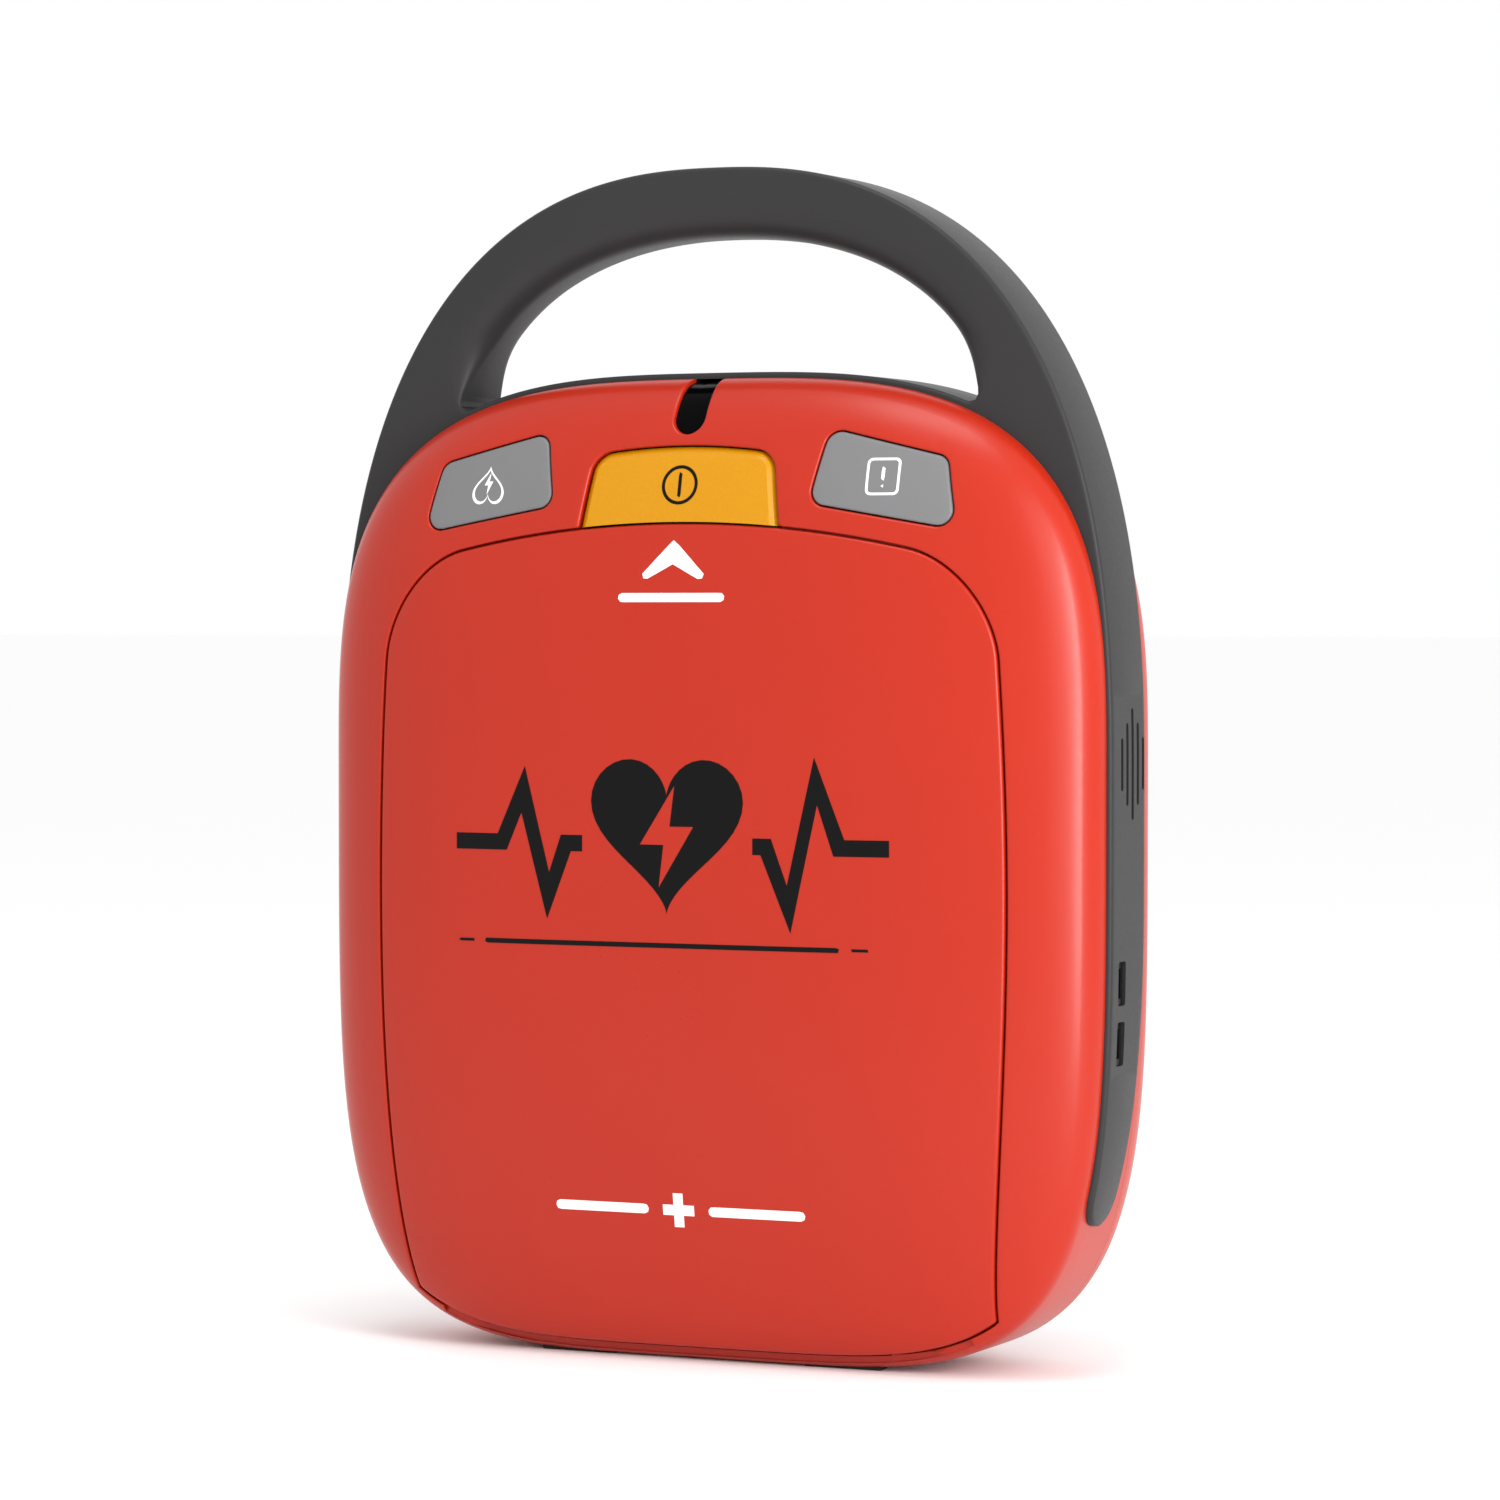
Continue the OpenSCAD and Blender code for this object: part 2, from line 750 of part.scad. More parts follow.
module pack_outline(d) {
    rounded(-pack_w / 2 + d, pack_z + d, pack_w / 2 - d, pack_top - d, 4);
}
module battery_housing() {
    room_back = cell_d + cell_r + 0.2;
    color(charcoal) resize([0, 0, 0]) difference() {
        intersection() {
            slab(depth(pack_front), back_y) pack_outline(0);
            rear_dome(0);
        }
        slab(depth(pack_front - 1), depth(room_back)) rounded(-47, pack_z + 3, 47, pack_z + 73.3, 3);
        slab(depth(pack_front - 1), depth(pack_front + pack_wall)) pack_outline(1.2);
        // Pocket for the latch and its spring
        block([-latch_half - 0.4, depth(66), latch_z[0] - latch_travel - 0.4], [latch_half + 0.4, back_y + 1, pack_top + 1]);
        translate([0, depth(spring_d), latch_z[0] - spring_len - 0.1]) cylinder(r = 2.3, h = 8);
        both_sides() peg(38, 80, back_y - 1, back_y + 1, 6.1);
    }
}
module battery_cover() {
    color(charcoal) difference() {
        slab(depth(pack_front), depth(pack_front + pack_wall)) pack_outline(1.3);
        for (x = [-12, 0, 12]) block([x - 2.5, front_y, 61], [x + 2.5, back_y, 69]);
    }
}
module battery_cells() {
    color(foil) for (i = [0:cells_across - 1], row = [0, 1])
        translate([(i - (cells_across - 1) / 2) * cell_pitch, depth(cell_d), pack_z + 3.6 + row * (cell_h + 0.8)])
            cylinder(r = cell_r, h = cell_h);
}
module battery_contacts() {
    color(gold) for (x = [-12, 0, 12])
        block([x - 2.3, depth(pack_front + 0.6), 61.2], [x + 2.3, depth(pack_front + pack_wall), 68.8]);
}
// Tall connector between the main board and the battery, with three blades
module battery_socket() {
    color(black) block([-18, depth(board_d + board_t), 60], [18, depth(bay_front - bay_wall - 0.2), 70]);
    color(gold) for (x = [-12, 0, 12])
        block([x - 1.2, depth(bay_front - bay_wall - 0.2), 62], [x + 1.2, depth(bay_front + 0.3), 68]);
}
module battery_latch() {
    color(black) union() {
        block([-latch_half, depth(66.3), latch_z[0]], [latch_half, back_y - 0.4, latch_z[1]]);
        block([-6, depth(66.3), latch_z[1]], [6, depth(69), latch_z[1] + 2]);
    }
}
module latch_spring() {
    translate([0, depth(spring_d), latch_z[0] - spring_len]) color(steel) difference() {
        cylinder(r = 2.2, h = spring_len);
        translate([0, 0, -1]) cylinder(r = 1.6, h = 9);
    }
}
module battery_pads() {
    color(black) both_sides() peg(38, 80, back_y - 1, back_y + rear_pad_proud, 6);
}

front_case();
rear_case();
handle_band();
case_gasket();
case_screws();
lid();
lid_knuckles();
lid_keepers();
lid_gasket();
hinge_blocks();
hinge_pins();
case_magnets();
power_button();
shock_button();
info_button();
power_button_spring();
tact_switches();
button_board();
status_lens();
status_led();
pads_tray();
pads_pouch();
pads_socket();
mid_frame();
main_board();
hv_board();
board_screws();
board_chips();
ribbon_cable();
energy_capacitor();
capacitor_clamps();
hv_transformer();
output_relays();
heat_sink();
power_transistors();
speaker();
speaker_gasket();
data_port_plug();
service_port_plug();
port_board();
battery_housing();
battery_cover();
battery_cells();
battery_contacts();
battery_socket();
battery_latch();
latch_spring();
battery_pads();
label_plate();
rear_pads();
base_feet();
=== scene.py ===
import json
import math
import bmesh
import bpy
import numpy as np
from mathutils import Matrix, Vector
from mathutils.geometry import delaunay_2d_cdt


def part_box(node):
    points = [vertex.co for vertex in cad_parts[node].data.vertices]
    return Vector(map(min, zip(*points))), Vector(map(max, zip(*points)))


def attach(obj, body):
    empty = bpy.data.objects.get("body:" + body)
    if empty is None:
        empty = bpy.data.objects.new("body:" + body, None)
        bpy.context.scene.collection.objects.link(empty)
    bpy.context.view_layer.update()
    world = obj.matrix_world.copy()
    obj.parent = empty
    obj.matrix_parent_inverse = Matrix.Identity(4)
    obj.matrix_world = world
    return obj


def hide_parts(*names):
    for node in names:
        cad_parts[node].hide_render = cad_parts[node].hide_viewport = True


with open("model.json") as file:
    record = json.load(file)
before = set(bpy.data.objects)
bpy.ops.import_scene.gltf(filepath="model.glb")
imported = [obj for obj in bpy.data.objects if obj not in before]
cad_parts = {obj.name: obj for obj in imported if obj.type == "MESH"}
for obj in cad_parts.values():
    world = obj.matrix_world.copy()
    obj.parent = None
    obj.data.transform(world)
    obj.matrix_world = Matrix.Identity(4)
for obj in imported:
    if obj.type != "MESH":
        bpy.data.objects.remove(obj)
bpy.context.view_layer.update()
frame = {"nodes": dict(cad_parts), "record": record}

MM = 0.001


def span(node):
    lo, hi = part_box(node)
    return np.array(lo) / MM, np.array(hi) / MM


# ---- sizes, in millimetres, read from the CAD frame
case_lo, case_hi = span("front_case")
rear_hi = span("rear_case")[1]
band_lo, band_hi = span("handle_band")
lid_lo, lid_hi = span("lid")
power_hi = span("power_button")[1]
tray_lo, tray_hi = span("pads_tray")
pouch_lo, pouch_hi = span("pads_pouch")
pack_lo, pack_hi = span("battery_housing")
label_lo, label_hi = span("label_plate")

HALF = case_hi[0]
CREST = case_hi[2]
FLOOR = case_lo[2]
PARTING = band_hi[1]
EDGE = band_lo[1]
MID = (EDGE + PARTING) / 2
FRONT = lid_lo[1]
BACK = rear_hi[1]
CROWN = EDGE - FRONT
PROUD = band_hi[0] - HALF
TOP = band_hi[2]

# design sizes that the frame's boxes do not give
REAR_CROWN = 30.0
WIDE = 146.0
N_TOP, N_BASE, N_BAND = 3.2, 4.6, 2.45
DOME_N, DOME_M = 3.0, 2.2
REAR_N, REAR_M, REAR_EASE = 3.1, 2.6, 1.2
WALL = 3.0
SEAM = 0.5
SILL = 3.3
HINGE_Y = MID - 16.8
HINGE_Z = 7.0
CHANNEL = 4.4
FAR = 1e3


# ---- distances in the plane seen from the front (negative inside)
def rho(x, z, d=0.0):
    n = np.where(z >= WIDE, N_TOP, N_BASE)
    v = np.where(z >= WIDE, CREST - WIDE, WIDE) - d
    return ((np.abs(x) / (HALF - d)) ** n + (np.abs(z - WIDE) / v) ** n) ** (1 / n)


def ellipse(x, z, w, h, n, at):
    return ((np.abs(x) / w) ** n + (np.abs(z - at) / h) ** n) ** (1 / n)


def near(f, x, z, level):
    """First-order distance from the contour f = level."""
    e = 1e-3
    gx = (f(x + e, z) - f(x - e, z)) / (2 * e)
    gz = (f(x, z + e) - f(x, z - e)) / (2 * e)
    return (f(x, z) - level) / np.maximum(np.hypot(gx, gz), 2e-3)


def outline(x, z, d=0.0):
    return near(lambda a, b: rho(a, b, d), x, z, 1.0)


def round_and(a, b, r):
    u, v = np.maximum(r + a, 0), np.maximum(r + b, 0)
    return np.minimum(-r, np.maximum(a, b)) + np.hypot(u, v)


def box(x, z, x0, z0, x1, z1, r=0.0):
    qx = np.abs(x - (x0 + x1) / 2) - (x1 - x0) / 2 + r
    qz = np.abs(z - (z0 + z1) / 2) - (z1 - z0) / 2 + r
    return np.hypot(np.maximum(qx, 0), np.maximum(qz, 0)) + np.minimum(np.maximum(qx, qz), 0) - r


def poly(x, z, pts):
    """Distance to a closed polygon, negative inside."""
    d = np.full(np.shape(x), FAR)
    inside = np.zeros(np.shape(x), bool)
    for (ax, az), (bx, bz) in zip(pts, pts[1:] + pts[:1]):
        ex, ez = bx - ax, bz - az
        t = np.clip(((x - ax) * ex + (z - az) * ez) / (ex * ex + ez * ez), 0, 1)
        d = np.minimum(d, np.hypot(x - ax - t * ex, z - az - t * ez))
        cross = (az > z) != (bz > z)
        slope = ex / (ez if abs(ez) > 1e-12 else 1e-12)
        inside ^= cross & (x < ax + (z - az) * slope)
    return np.where(inside, -d, d)


def shrunk(pts, r):
    """A convex polygon drawn in by r, wound either way."""
    n = len(pts)
    area = sum(a[0] * b[1] - b[0] * a[1] for a, b in zip(pts, pts[1:] + pts[:1]))
    s = 1 if area > 0 else -1
    lines = []
    for i in range(n):
        (ax, az), (bx, bz) = pts[i], pts[(i + 1) % n]
        k = math.hypot(bx - ax, bz - az)
        nx, nz = -s * (bz - az) / k, s * (bx - ax) / k
        lines.append((nx, nz, nx * ax + nz * az + r))
    out = []
    for i in range(n):
        a, b = lines[i - 1], lines[i]
        det = a[0] * b[1] - a[1] * b[0]
        out.append(((a[2] * b[1] - a[1] * b[2]) / det, (a[0] * b[2] - a[2] * b[0]) / det))
    return out


LID_ARC, LID_SIDE, LID_CORNER = 286.0, 850.0, 20
LID_TOP, LID_HALF, LID_WAIST = lid_hi[2], lid_hi[0], 115
LID_SHARE = 0.976


def lid_arc(x, z):
    return np.hypot(x, z - LID_TOP + LID_ARC) - LID_ARC


def lid(x, z):
    side = np.hypot(np.abs(x) - LID_HALF + LID_SIDE, z - LID_WAIST) - LID_SIDE
    edge = near(rho, x, z, LID_SHARE)
    return np.maximum(round_and(lid_arc(x, z), side, LID_CORNER), edge)


POWER_TOP, POWER_ARC, POWER_CORNER = power_hi[2] - 1.4, 160, 4
POWER_HALF, POWER_Z = 29.6, 185
POWER_RISE, POWER_LEAN = 44, 6.6


def power_shoulder(x, z):
    side = (np.abs(x) - POWER_HALF) * POWER_RISE + (z - POWER_Z) * POWER_LEAN
    top = np.hypot(x, z - POWER_TOP + POWER_ARC) - POWER_ARC
    return round_and(side / math.hypot(POWER_RISE, POWER_LEAN), top, POWER_CORNER)


def power(x, z):
    return np.maximum(power_shoulder(x, z), SEAM - lid_arc(x, z))


WINDOW = [(34.6, 210.8), (38.2, 228.7), (68.0, 221.5), (71.6, 204.4)]
WINDOW_R = 3.5
WINDOW_IN = shrunk(WINDOW, WINDOW_R)


def window(x, z):
    return poly(x, z, WINDOW_IN) - WINDOW_R


def window_left(x, z):
    return window(-x, z)


LENS_Z, LENS_R, LENS_RUN = 232.1, 4.1, 40


def lens(x, z):
    return np.hypot(x, z - np.clip(z, LENS_Z, LENS_Z + LENS_RUN)) - LENS_R


def band_outside(x, z):
    above = near(lambda a, b: ellipse(a, b, HALF + PROUD, TOP - WIDE, N_BAND, WIDE), x, z, 1.0)
    return np.where(z >= WIDE, above, outline(x, z, -PROUD))


OPENING = dict(w=72.0, h=52.0, n=2.2, at=225.0)
OPENING_GAP, OPENING_CORNER = 1.5, 4


def opening(x, z):
    hole = near(lambda a, b: ellipse(a, b, **OPENING), x, z, 1.0)
    return round_and(hole, -outline(x, z, -OPENING_GAP), OPENING_CORNER)


# ---- depth of the crowned surfaces
def dome(x, z, d=0.0):
    r = np.minimum(rho(x, z, d), 1.0)
    return EDGE - (CROWN - d) * (1 - r**DOME_N) ** (1 / DOME_M)


def rear(x, z, d=0.0):
    """The rear crown, eased into the flat back."""
    r = np.minimum(rho(x, z, d), 1.0)
    y = PARTING + (REAR_CROWN - d) * (1 - r**REAR_N) ** (1 / REAR_M)
    flat = BACK - d
    h = np.clip(0.5 + 0.5 * (flat - y) / REAR_EASE, 0, 1)
    return flat * (1 - h) + y * h - REAR_EASE * h * (1 - h)


def fall(d, r):
    """How far a rounded edge of radius r has dropped, d inside its boundary."""
    t = np.clip(r - np.maximum(d, 0), 0, r)
    return r - np.sqrt(np.maximum(r * r - t * t, 0))


def turned(*angles):
    """How far an edge rounded to radius 1 has come in at these angles."""
    return [1 - math.cos(math.radians(a)) for a in angles]


ROUND = turned(0, 20, 38, 55, 72, 90)


# ---- contours and meshes
RAYS, RAY_START, RAY_STEPS, HALVINGS = 3600, 0.5, 340, 34


def contour(f, cx, cz, step, far=170.0):
    """The closed contour f = 0 round a point that it surrounds, as points about step apart."""
    a = np.linspace(0, 2 * math.pi, RAYS, endpoint=False)
    ux, uz = np.cos(a), np.sin(a)
    lo, hi = np.zeros(RAYS), np.zeros(RAYS)
    found = np.zeros(RAYS, bool)
    for r in np.linspace(RAY_START, far, RAY_STEPS):
        out = f(cx + r * ux, cz + r * uz) > 0
        hi = np.where(~found & out, r, hi)
        found |= out
        lo = np.where(~found, r, lo)
    for _ in range(HALVINGS):
        m = (lo + hi) / 2
        out = f(cx + m * ux, cz + m * uz) > 0
        hi, lo = np.where(out, m, hi), np.where(out, lo, m)
    return even(np.c_[cx + hi * ux, cz + hi * uz], step)


def bends(f, at, width, step, seam=None, far=170.0):
    """The contours at which an edge bends as it rounds inwards, or outwards where width is negative;
    the first, on the seam, can have a step of its own."""
    return [contour(lambda x, z, k=k: f(x, z) + width * k, *at, step if k else seam or step, far)
            for k in ROUND]


def even(p, step, closed=True):
    q = np.vstack([p, p[:1]]) if closed else p
    s = np.r_[0, np.cumsum(np.hypot(*np.diff(q, axis=0).T))]
    n = max(int(round(s[-1] / step)), 3)
    at = np.linspace(0, s[-1], n + 1)
    r = np.c_[np.interp(at, s, q[:, 0]), np.interp(at, s, q[:, 1])]
    return r[:-1] if closed else r


def segment(a, b, step):
    return even(np.array([a, b], float), step, False)


def lattice(x0, x1, dx, z0, z1, dz):
    return (q.ravel() for q in np.meshgrid(np.arange(x0, x1, dx), np.arange(z0, z1, dz)))


def circle(cx, cz, r, n=40):
    a = np.linspace(0, 2 * math.pi, n, endpoint=False)
    return np.c_[cx + r * np.cos(a), cz + r * np.sin(a)]


CORNER_STEPS = 8


def rect(x0, z0, x1, z1, r=0.0, step=4.0):
    if r <= 0:
        return even(np.array([(x0, z0), (x1, z0), (x1, z1), (x0, z1)], float), step)
    out = []
    for cx, cz, a0 in ((x1 - r, z0 + r, -90), (x1 - r, z1 - r, 0),
                       (x0 + r, z1 - r, 90), (x0 + r, z0 + r, 180)):
        for k in range(CORNER_STEPS + 1):
            a = math.radians(a0 + 90 * k / CORNER_STEPS)
            out.append((cx + r * math.cos(a), cz + r * math.sin(a)))
    return even(np.array(out), step)


def grown(b, d):
    """The box (x0, z0, x1, z1) moved out by d on every side."""
    return b[0] - d, b[1] - d, b[2] + d, b[3] + d


BATCH = 500


def triangles(loops, lines, points, keep_off=0.5):
    """Triangles over the plane with the loops and lines as edges, without the loose points near them."""
    verts, edges = [], []
    for loop in loops:
        n0 = len(verts)
        verts += [tuple(p) for p in loop]
        edges += [(n0 + i, n0 + (i + 1) % len(loop)) for i in range(len(loop))]
    for line in lines:
        n0 = len(verts)
        verts += [tuple(p) for p in line]
        edges += [(n0 + i, n0 + i + 1) for i in range(len(line) - 1)]
    fixed = np.array(verts)
    if len(points):
        pts = np.asarray(points, float)
        good = np.ones(len(pts), bool)
        for i in range(0, len(pts), BATCH):
            gap = pts[i:i + BATCH, None] - fixed[None]
            good[i:i + BATCH] = np.hypot(gap[..., 0], gap[..., 1]).min(1) > keep_off
        verts += [tuple(p) for p in pts[good]]
    v, _, f, _, _, _ = delaunay_2d_cdt([Vector(p) for p in verts], edges, [], 0, 1e-5)
    return np.array([tuple(p) for p in v]), np.array([tuple(t) for t in f])


def regions(tri, k):
    """A corner for every vertex and region, the triangles between these, and every edge's uses."""
    used, inv = np.unique(np.c_[tri.ravel(), np.repeat(k, 3)], axis=0, return_inverse=True)
    inv = inv.reshape(-1, 3)
    at = {}
    for t, s in zip(tri, inv):
        for i in range(3):
            j = (i + 1) % 3
            at.setdefault((min(t[i], t[j]), max(t[i], t[j])), []).append((s[i], s[j]))
    return used, inv, at


def within(f):
    """A single region, where f is negative."""
    return lambda x, z: np.where(f(x, z) < 0, 0, -1)


SAME_LEVEL = 0.002


def slab(v, tri, zone, top, bottom, on_rim=None, rows=None, rim_inset=None, floor=None, facing=-1):
    """A closed solid over the triangles: zone(x, z) numbers each one's region, with -1 for none,
    and top(x, z, k) and bottom(x, z, k) give the depth of region k. Where on_rim(x, z) holds,
    rows() gives the points down the side."""
    c = v[tri].mean(1)
    k = zone(c[:, 0], c[:, 1])
    tri, k = tri[k >= 0], k[k >= 0]
    a, b = v[tri[:, 1]] - v[tri[:, 0]], v[tri[:, 2]] - v[tri[:, 0]]
    cross = a[:, 0] * b[:, 1] - a[:, 1] * b[:, 0]
    tri = np.where((cross < 0)[:, None], tri[:, ::-1], tri)
    used, inv, at = regions(tri, k)
    x, z = v[used[:, 0]].T
    n = len(used)
    yt, yb = np.zeros(n), np.zeros(n)
    for r in np.unique(k):
        m = used[:, 1] == r
        yt[m], yb[m] = top(x[m], z[m], r), bottom(x[m], z[m], r)
    xb, zb = x, z
    if rim_inset:
        xb, zb = inset(x, z, np.where(on_rim(x, z), rim_inset(z), 0.0))
    co = np.vstack([np.c_[x, yt, z], np.c_[xb, yb, zb]])
    faces = [tuple(t) for t in inv] + [tuple(n + t[::-1]) for t in inv]
    extra = []
    columns, level = {}, np.r_[yt, yb]
    for i in range(n):
        columns.setdefault(used[i, 0], []).extend([i, n + i])

    def between(i, j):
        """The points of one upright column that lie between two others of it, in order."""
        lo, hi = sorted((level[i], level[j]))
        mid = {round(level[k], 3): k for k in columns[used[i % n, 0]]
               if lo + SAME_LEVEL < level[k] < hi - SAME_LEVEL}
        return [mid[k] for k in sorted(mid, reverse=bool(level[i] > level[j]))]

    def wall(q, p, s, r):
        faces.append((q, p, *between(p, s), s, r, *between(r, q)))

    for uses in at.values():
        if len(uses) == 2:
            (p, q), (r, s) = uses
            if used[p, 1] == used[r, 1]:
                continue
            wall(q, p, s, r)
            wall(n + p, n + q, n + r, n + s)
            continue
        p, q = uses[0]
        if rows and on_rim(x[p], z[p]) and on_rim(x[q], z[q]):
            a, b = rows(x[p], z[p], yt[p], yb[p]), rows(x[q], z[q], yt[q], yb[q])
            m = 2 * n + len(extra)
            extra += a + b
            w = len(a)
            faces += [(m + w + i, m + i, m + i + 1, m + w + i + 1) for i in range(w - 1)]
        else:
            wall(q, p, n + p, n + q)
    if extra:
        co = np.vstack([co, np.array(extra, float)])
    if floor is not None:
        co[:, 2] = np.maximum(co[:, 2], floor)
    if facing > 0:
        faces = [f[::-1] for f in faces]
    return co, faces


WELD, THIN = 2e-6, 1e-6


def piece(name, co, faces, mat, body, replaces=(), angle=32):
    """A visual piece that moves with a body and takes the place of the CAD nodes named."""
    me = bpy.data.meshes.new(name)
    me.from_pydata([tuple(p) for p in np.asarray(co) * MM], [],
                   [tuple(int(i) for i in f) for f in faces])
    bm = bmesh.new()
    bm.from_mesh(me)
    bmesh.ops.remove_doubles(bm, verts=bm.verts, dist=WELD)
    bmesh.ops.dissolve_degenerate(bm, dist=THIN, edges=bm.edges)
    loose = [q for q in bm.verts if not q.link_faces]
    bmesh.ops.delete(bm, geom=loose, context="VERTS")
    bmesh.ops.recalc_face_normals(bm, faces=bm.faces)
    open_edges = sum(1 for e in bm.edges if len(e.link_faces) != 2)
    bm.to_mesh(me)
    bm.free()
    print(f"piece {name}: {len(me.polygons)} faces, {open_edges} open or shared edges")
    for p in me.polygons:
        p.use_smooth = True
    me.set_sharp_from_angle(angle=math.radians(angle))
    me.materials.append(mat)
    ob = bpy.data.objects.new(name, me)
    bpy.context.scene.collection.objects.link(ob)
    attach(ob, body)
    if replaces:
        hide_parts(*replaces)
    return ob


def join(parts):
    """Several (points, faces) as one."""
    co, faces, n = [], [], 0
    for c, f in parts:
        co.append(np.asarray(c, float))
        faces += [tuple(i + n for i in g) for g in f]
        n += len(c)
    return np.vstack(co), faces


# ---- edges of the band's tongue, seen from the side
TIP_Z = band_lo[2]
TIP_R = 8.0
TONGUE_ARC, TONGUE_Z = 400.0, 115.0


def tongue(z):
    """Front and rear edge of the band at height z; both are the tip's middle below the tip."""
    c = TIP_Z + TIP_R
    round_off = np.sqrt(np.maximum(TIP_R**2 - np.maximum(c - z, 0) ** 2, 0))
    yc = PARTING - TONGUE_ARC + math.sqrt((TONGUE_ARC - TIP_R) ** 2 - (TONGUE_Z - c) ** 2)
    arc = PARTING - TONGUE_ARC + np.sqrt(TONGUE_ARC**2 - np.clip(TONGUE_Z - z, 0, None) ** 2)
    joint = c - TIP_R * (TONGUE_Z - c) / (TONGUE_ARC - TIP_R)
    y0, y1 = EDGE + TIP_R - round_off, np.where(z > joint, arc, yc + round_off)
    tip = (EDGE + TIP_R + yc) / 2
    return np.where(z > TIP_Z, y0, tip), np.where(z > TIP_Z, y1, tip)


def inset(x, z, d):
    """The point drawn in towards the middle of the case, d at the outline."""
    v = np.where(z >= WIDE, CREST - WIDE, WIDE)
    return x * (HALF - d) / HALF, WIDE + (z - WIDE) * (v - d) / v


TIP_MID, TIP_REACH, TIP_X = 5, 8, 70
RIM_SAMPLES, RIM_STEP, RIM_FINE = 20001, 2.0, 0.45


def spaced(q, fine=RIM_FINE):
    """Points about RIM_STEP apart on a closed line, finer beside the tips of the band."""
    near_tip = (np.abs(q[:, 1] - TIP_Z - TIP_MID) < TIP_REACH) & (np.abs(q[:, 0]) > TIP_X)
    w = np.where(near_tip, 1 / fine, 1 / RIM_STEP)[1:]
    s = np.r_[0, np.cumsum(np.hypot(*np.diff(q, axis=0).T) * w)]
    at = np.linspace(0, s[-1], int(s[-1]) + 1)[:-1]
    return np.c_[np.interp(at, s, q[:, 0]), np.interp(at, s, q[:, 1])]


def rim():
    """The case outline."""
    t = np.linspace(-math.pi, math.pi, RIM_SAMPLES)
    n = np.where(np.sin(t) >= 0, N_TOP, N_BASE)
    v = np.where(np.sin(t) >= 0, CREST - WIDE, WIDE)
    r = (np.abs(np.cos(t)) ** n + np.abs(np.sin(t)) ** n) ** (-1 / n)
    return spaced(np.c_[HALF * np.cos(t) * r, WIDE + v * np.sin(t) * r])


RIM = rim()
RIM_RINGS = (88, 85.5, 83, 80, 76, 72)
BASE_LINE = segment((-43.0, FLOOR), (43.0, FLOOR), 3.0)


def ring(share, every=1):
    p = RIM[::every]
    return np.c_[p[:, 0] * share, WIDE + (p[:, 1] - WIDE) * share]


def dome_ring(a, m):
    """The share of the outline at which a crown of exponent m is a degrees round."""
    return math.sin(math.radians(a)) ** (2 / m)


def dome_points(m):
    out = [[0.0, WIDE]]
    for a, every in zip(range(68, 0, -4), (1, 1, 1, 2, 2, 2, 2, 3, 3, 3, 4, 4, 5, 6, 8, 12, 24)):
        out += ring(dome_ring(a, m), every).tolist()
    return np.array(out)


# ---- materials
BLOTCH = 14.0
SLOW_SHARE, FINE_SHARE = 0.65, 0.35
NOISE_LOW, NOISE_HIGH = 0.3, 0.7


def material(name, colour, rough=0.4, spread=0.08, grain=900.0, bump=0.05, depth=0.0001,
             metal=0.0, tint=0.05, spec=0.5):
    """Moulded or metal finish: fine grain in the bump, slow changes in roughness and colour."""
    m = bpy.data.materials.new(name)
    m.use_nodes = True
    t = m.node_tree
    t.nodes.clear()
    out = t.nodes.new("ShaderNodeOutputMaterial")
    b = t.nodes.new("ShaderNodeBsdfPrincipled")
    t.links.new(b.outputs["BSDF"], out.inputs["Surface"])
    b.inputs["Metallic"].default_value = metal
    b.inputs["Specular IOR Level"].default_value = spec
    co = t.nodes.new("ShaderNodeTexCoord")
    slow = t.nodes.new("ShaderNodeTexNoise")
    slow.inputs["Scale"].default_value = BLOTCH
    slow.inputs["Detail"].default_value = 4.0
    fine = t.nodes.new("ShaderNodeTexNoise")
    fine.inputs["Scale"].default_value = grain
    fine.inputs["Detail"].default_value = 2.0
    t.links.new(co.outputs["Object"], slow.inputs["Vector"])
    t.links.new(co.outputs["Object"], fine.inputs["Vector"])
    span_r = t.nodes.new("ShaderNodeMapRange")
    span_r.inputs["From Min"].default_value = NOISE_LOW
    span_r.inputs["From Max"].default_value = NOISE_HIGH
    span_r.inputs["To Min"].default_value = max(rough - spread, 0.02)
    span_r.inputs["To Max"].default_value = rough + spread
    mixed = t.nodes.new("ShaderNodeMath")
    mixed.operation = "MULTIPLY_ADD"
    mixed.inputs[1].default_value = FINE_SHARE
    t.links.new(fine.outputs["Fac"], mixed.inputs[0])
    scaled = t.nodes.new("ShaderNodeMath")
    scaled.operation = "MULTIPLY"
    scaled.inputs[1].default_value = SLOW_SHARE
    t.links.new(slow.outputs["Fac"], scaled.inputs[0])
    t.links.new(scaled.outputs[0], mixed.inputs[2])
    t.links.new(mixed.outputs[0], span_r.inputs["Value"])
    t.links.new(span_r.outputs["Result"], b.inputs["Roughness"])
    ramp = t.nodes.new("ShaderNodeValToRGB")
    ramp.color_ramp.elements[0].position = NOISE_LOW
    ramp.color_ramp.elements[1].position = NOISE_HIGH
    ramp.color_ramp.elements[0].color = (*[c * (1 - tint) for c in colour], 1)
    ramp.color_ramp.elements[1].color = (*[min(c * (1 + tint), 1) for c in colour], 1)
    t.links.new(slow.outputs["Fac"], ramp.inputs["Fac"])
    t.links.new(ramp.outputs["Color"], b.inputs["Base Color"])
    k = t.nodes.new("ShaderNodeBump")
    k.inputs["Strength"].default_value = bump
    k.inputs["Distance"].default_value = depth
    t.links.new(fine.outputs["Fac"], k.inputs["Height"])
    t.links.new(k.outputs["Normal"], b.inputs["Normal"])
    return m


